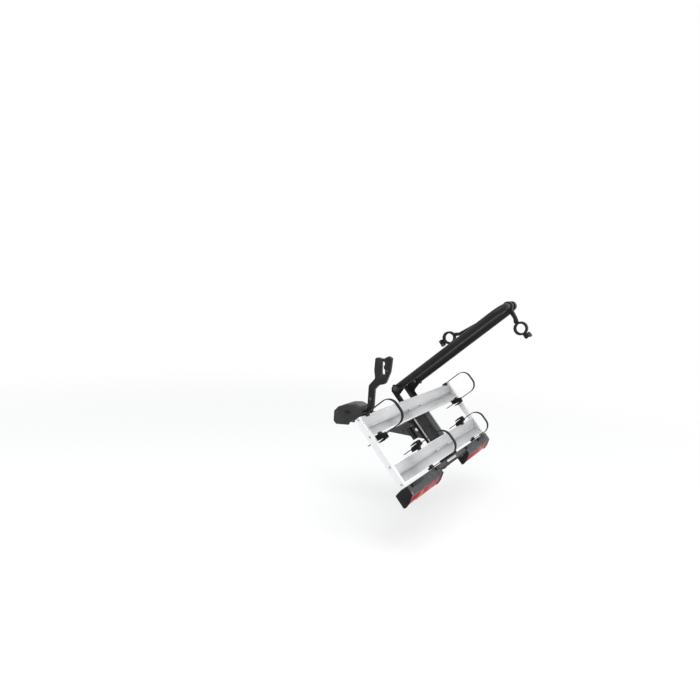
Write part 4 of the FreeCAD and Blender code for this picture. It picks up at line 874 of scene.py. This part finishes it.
def makePan(look):
    back, front = look["paintedLightSpan"]
    middle, wide = look["half"] - look["sheet"] / 2, look["highlightWide"] / 2
    # pale strips along the top edges of the pan's walls: painted highlight
    shape = bmesh.new()
    for side in (-1, 1):
        addBlock(shape, (side * middle - wide, back, look["top"] - look["highlightSunk"]),
                 (side * middle + wide, front, look["top"] + look["highlightTall"]), look["highlightSoft"], onPlatform)
    finishPiece("panEdgeHighlights", shape, "paleHighlightPaint", "platform")
    makePanWelds(look)
    floor = look["low"] + look["sheet"]
    proud = -look["grommetProud"]
    shape = bmesh.new()
    for side, y in look["grommets"]:
        turned = onPlatform @ Matrix.Translation((side, y, floor)) @ Matrix.Rotation(math.pi / 2, 4, "Y")
        addRod(shape, (look["grommetSunk"], 0, 0), (proud, 0, 0), look["grommet"],
               sides=look["grommetSides"], place=turned)
        addRing(shape, (proud, 0, 0), look["grommet"], *look["grommetBead"], place=turned)
    finishPiece("panGrommets", shape, "gripRubber", "platform")
    # lighter grey sheets leaning against the pan's side walls: painted light on the walls' inner faces
    inner, outer = look["litBand"]
    lean = math.radians(look["litBandLean"])
    across = (outer - inner) / math.cos(lean)
    shape = bmesh.new()
    for side in (-1, 1):
        place = (onPlatform @ Matrix.Translation((side * inner, 0, floor))
                 @ Matrix.Rotation(-side * lean, 4, "Y"))
        low, high = sorted((0, side * across))
        addBlock(shape, (low, back, 0), (high, front, look["litBandSheet"]), look["litBandSoft"], place)
    finishPiece("panLitBands", shape, "armPowderCoat", "platform")


makePan(panLook)


# Foot latch: ridges on the tread and a return spring round its bar

latchLook = {
    "pivot": (0.046, 0.012),
    "tread": (-0.157, -0.115), "ridges": 7, "ridgeStart": -0.08, "ridgePitch": 0.0085,
    "ridgeHalf": 0.0014, "ridgeUnder": (-0.0045, -0.0028), "ridgeSoft": 0.0007,
    "bar": (-0.028, -0.008), "spring": (-0.106, -0.064), "turns": 8, "turnSteps": 18, "wire": 0.0011,
    "wireSides": 8, "coil": 0.0056,
}


def makeLatch(look):
    y, z = look["pivot"]
    near, far = look["tread"]
    low, high = look["ridgeUnder"]
    half = look["ridgeHalf"]
    shape = bmesh.new()
    for step in range(look["ridges"]):
        at = y + look["ridgeStart"] + step * look["ridgePitch"]
        addBlock(shape, (near, at - half, z + low), (far, at + half, z + high), look["ridgeSoft"], onPlatform)
    finishPiece("treadRidges", shape, "gripRubber", "latch")
    start, end = look["spring"]
    barY, barZ = y + look["bar"][0], z + look["bar"][1]
    fit = Matrix.Translation((start, barY + look["coil"], barZ))
    steps = look["turns"] * look["turnSteps"]
    shape = bmesh.new()
    section = bmesh.ops.create_circle(shape, cap_ends=True, segments=look["wireSides"], radius=look["wire"],
                                      matrix=fit)["verts"]
    bmesh.ops.spin(shape, geom=section + edgesOf(section) + facesOf(section), cent=(start, barY, barZ),
                   axis=(1, 0, 0), dvec=((end - start) / steps, 0, 0), angle=look["turns"] * 2 * math.pi,
                   steps=steps, use_merge=False, use_duplicate=False)
    bmesh.ops.recalc_face_normals(shape, faces=shape.faces)
    finishPiece("latchSpring", shape, "darkZinc", "latch", onPlatform)


makeLatch(latchLook)
print("pan and latch detailed")


# Coupling: an oval rim on each side of the hood with a dark oval inside it as painted shadow of a recess,
# screws in the hood, ribs on the back of the lever's grip

couplingLook = {
    # a dark oval inside a rim on each side of the hood: painted shadow of a recess
    "hoodHalf": 0.06, "window": (-0.028, 0.03), "windowHalf": (0.0165, 0.009), "windowProud": 0.0006,
    "windowSides": 40, "windowBead": (0.0012, 0.0013),
    "hoodScrews": ((0.034, 0.022), (0.02, -0.034), (-0.094, 0.006)), "hoodScrew": (0.0042, 0.0022),
    "screwSunk": 0.0005,
    "gripBack": ((-0.2355, 0.322), (-0.2325, 0.268)), "gripRibs": 9,
    "ribHalf": 0.0105, "ribDeep": (-0.0012, 0.0014), "ribTall": 0.0013, "ribSoft": 0.0007,
}


def makeCoupling(look):
    y, z = look["window"]
    long, tall = look["windowHalf"]
    sides, proud = look["windowSides"], look["windowProud"]
    for side, name in ((-1, "left"), (1, "right")):
        oval = (Matrix.Translation((side * look["hoodHalf"], y, z))
                @ Matrix.Diagonal((1, long / tall, 1, 1)))
        shape = bmesh.new()
        addRing(shape, (0, 0, 0), tall, *look["windowBead"], steps=sides, place=oval)
        finishPiece(f"hoodRecessRim_{name}", shape, "blackMoulding", "mount")
        # a dark flat oval inside the rim: painted shadow of the recess
        shape = bmesh.new()
        addRod(shape, (-proud, 0, 0), (proud, 0, 0), tall, sides=sides, place=oval)
        finishPiece(f"hoodRecessShadow_{name}", shape, "gripRubber", "mount")
        shape = bmesh.new()
        for screwY, screwZ in look["hoodScrews"]:
            foot = (side * (look["hoodHalf"] - look["screwSunk"]), screwY, screwZ)
            addScrew(shape, foot, (side, 0, 0), *look["hoodScrew"])
        finishPiece(f"hoodScrews_{name}", shape, "darkZinc", "mount")
    top, bottom = (Vector((0, *spot)) for spot in look["gripBack"])
    half, tallRib = look["ribHalf"], look["ribTall"]
    deepBack, deepFront = look["ribDeep"]
    shape = bmesh.new()
    for step in range(look["gripRibs"]):
        rib = top.lerp(bottom, step / (look["gripRibs"] - 1))
        addBlock(shape, (-half, rib.y + deepBack, rib.z - tallRib),
                 (half, rib.y + deepFront, rib.z + tallRib), look["ribSoft"])
    finishPiece("leverGripRibs", shape, "gripRubber", "lever")


makeCoupling(couplingLook)


# Hoop: stop rings beside the frame holders, rubber liners in the claws, caps on the knobs

hoopLook = {
    "forward": 0.218, "pivotUp": 0.078, "tall": 0.655, "tube": 0.0175,
    "stopRings": ((-0.0495, 0.0052), (-0.0002, 0.0036), (0.0495, 0.0052)), "ringNarrowed": 1.1,
    "ringProud": 0.0012, "ringThick": 0.0018,
    # name: side, length, turn about the crossbar
    "holders": {"short": (-0.03, 0.118, 0), "long": (0.03, 0.345, math.radians(98))},
    "drop": 0.014, "clawInner": 0.024, "clawOuter": 0.032,
    "liner": 0.0016, "linerSunk": 0.0002, "linerHalf": 0.0115, "linerEnd": 0.12,
    "linerRibs": 9, "ribEnd": 0.3, "ribHalf": 0.045, "ribInset": 0.001, "ribSpan": (-0.0007, 0.0005),
    "clampKnob": 0.014, "clampUp": 0.022, "clampCap": (0.0075, 0.0066, 28),
    "knobFace": 0.1418, "knobWidth": 0.024, "knobCap": (0.0115, 0.0104, 32), "capSunk": 0.0004,
    "capTall": 0.0016,
}


def makeLiners(look, name, centre, place):
    inner, outer = look["clawInner"] - look["liner"], look["clawInner"] + look["linerSunk"]
    half = look["linerHalf"]
    ribLow, ribHigh = look["ribSpan"]
    for part, body, start in (("lower", f"{name}_holder", math.pi), ("upper", f"{name}_claw", 0)):
        shape = bmesh.new()
        addArc(shape, centre, inner, outer, half, start + look["linerEnd"],
               start + math.pi - look["linerEnd"], place=place)
        ribPitch = (math.pi - 2 * look["ribEnd"]) / (look["linerRibs"] - 1)
        for step in range(look["linerRibs"]):
            angle = start + look["ribEnd"] + step * ribPitch
            addArc(shape, centre, inner + ribLow, inner + ribHigh, half - look["ribInset"],
                   angle - look["ribHalf"], angle + look["ribHalf"], steps=2, place=place)
        finishPiece(f"clawLiner_{name}_{part}", shape, "gripRubber", body)


def makeHoop(look):
    head = look["pivotUp"] + look["tall"]
    shape = bmesh.new()
    for middle, wide in look["stopRings"]:
        addRing(shape, (middle, look["forward"], head), look["tube"] + look["ringProud"], look["ringThick"],
                wide / look["ringNarrowed"], place=onPlatform)
    finishPiece("hoopStopRings", shape, "gripRubber", "hoop")
    for name, (side, length, turn) in look["holders"].items():
        place = onPlatform @ Matrix.Translation((side, look["forward"], head)) @ Matrix.Rotation(turn, 4, "X")
        makeLiners(look, name, (0, -length, -look["drop"]), place)
        radius, tip, sides = look["clampCap"]
        y, z = -length - look["clawOuter"] - look["clampKnob"], look["clampUp"] - look["drop"]
        shape = bmesh.new()
        addRod(shape, (0, y, z), (0, y, z + look["capTall"]), radius, tip=tip, sides=sides, place=place)
        finishPiece(f"clawKnobCap_{name}", shape, "greyMoulding", f"{name}_claw_knob")
    radius, tip, sides = look["knobCap"]
    end = look["knobFace"] + look["knobWidth"]
    place = onPlatform @ Matrix.Translation((0, look["forward"], look["pivotUp"]))
    for name, side in (("left", -1), ("right", 1)):
        shape = bmesh.new()
        addRod(shape, (side * (end - look["capSunk"]), 0, 0), (side * (end + look["capTall"]), 0, 0), radius,
               tip=tip, sides=sides, place=place)
        finishPiece(f"knobCap_{name}", shape, "greyMoulding", f"knob_{name}")


makeHoop(hoopLook)
print("coupling and hoop detailed")
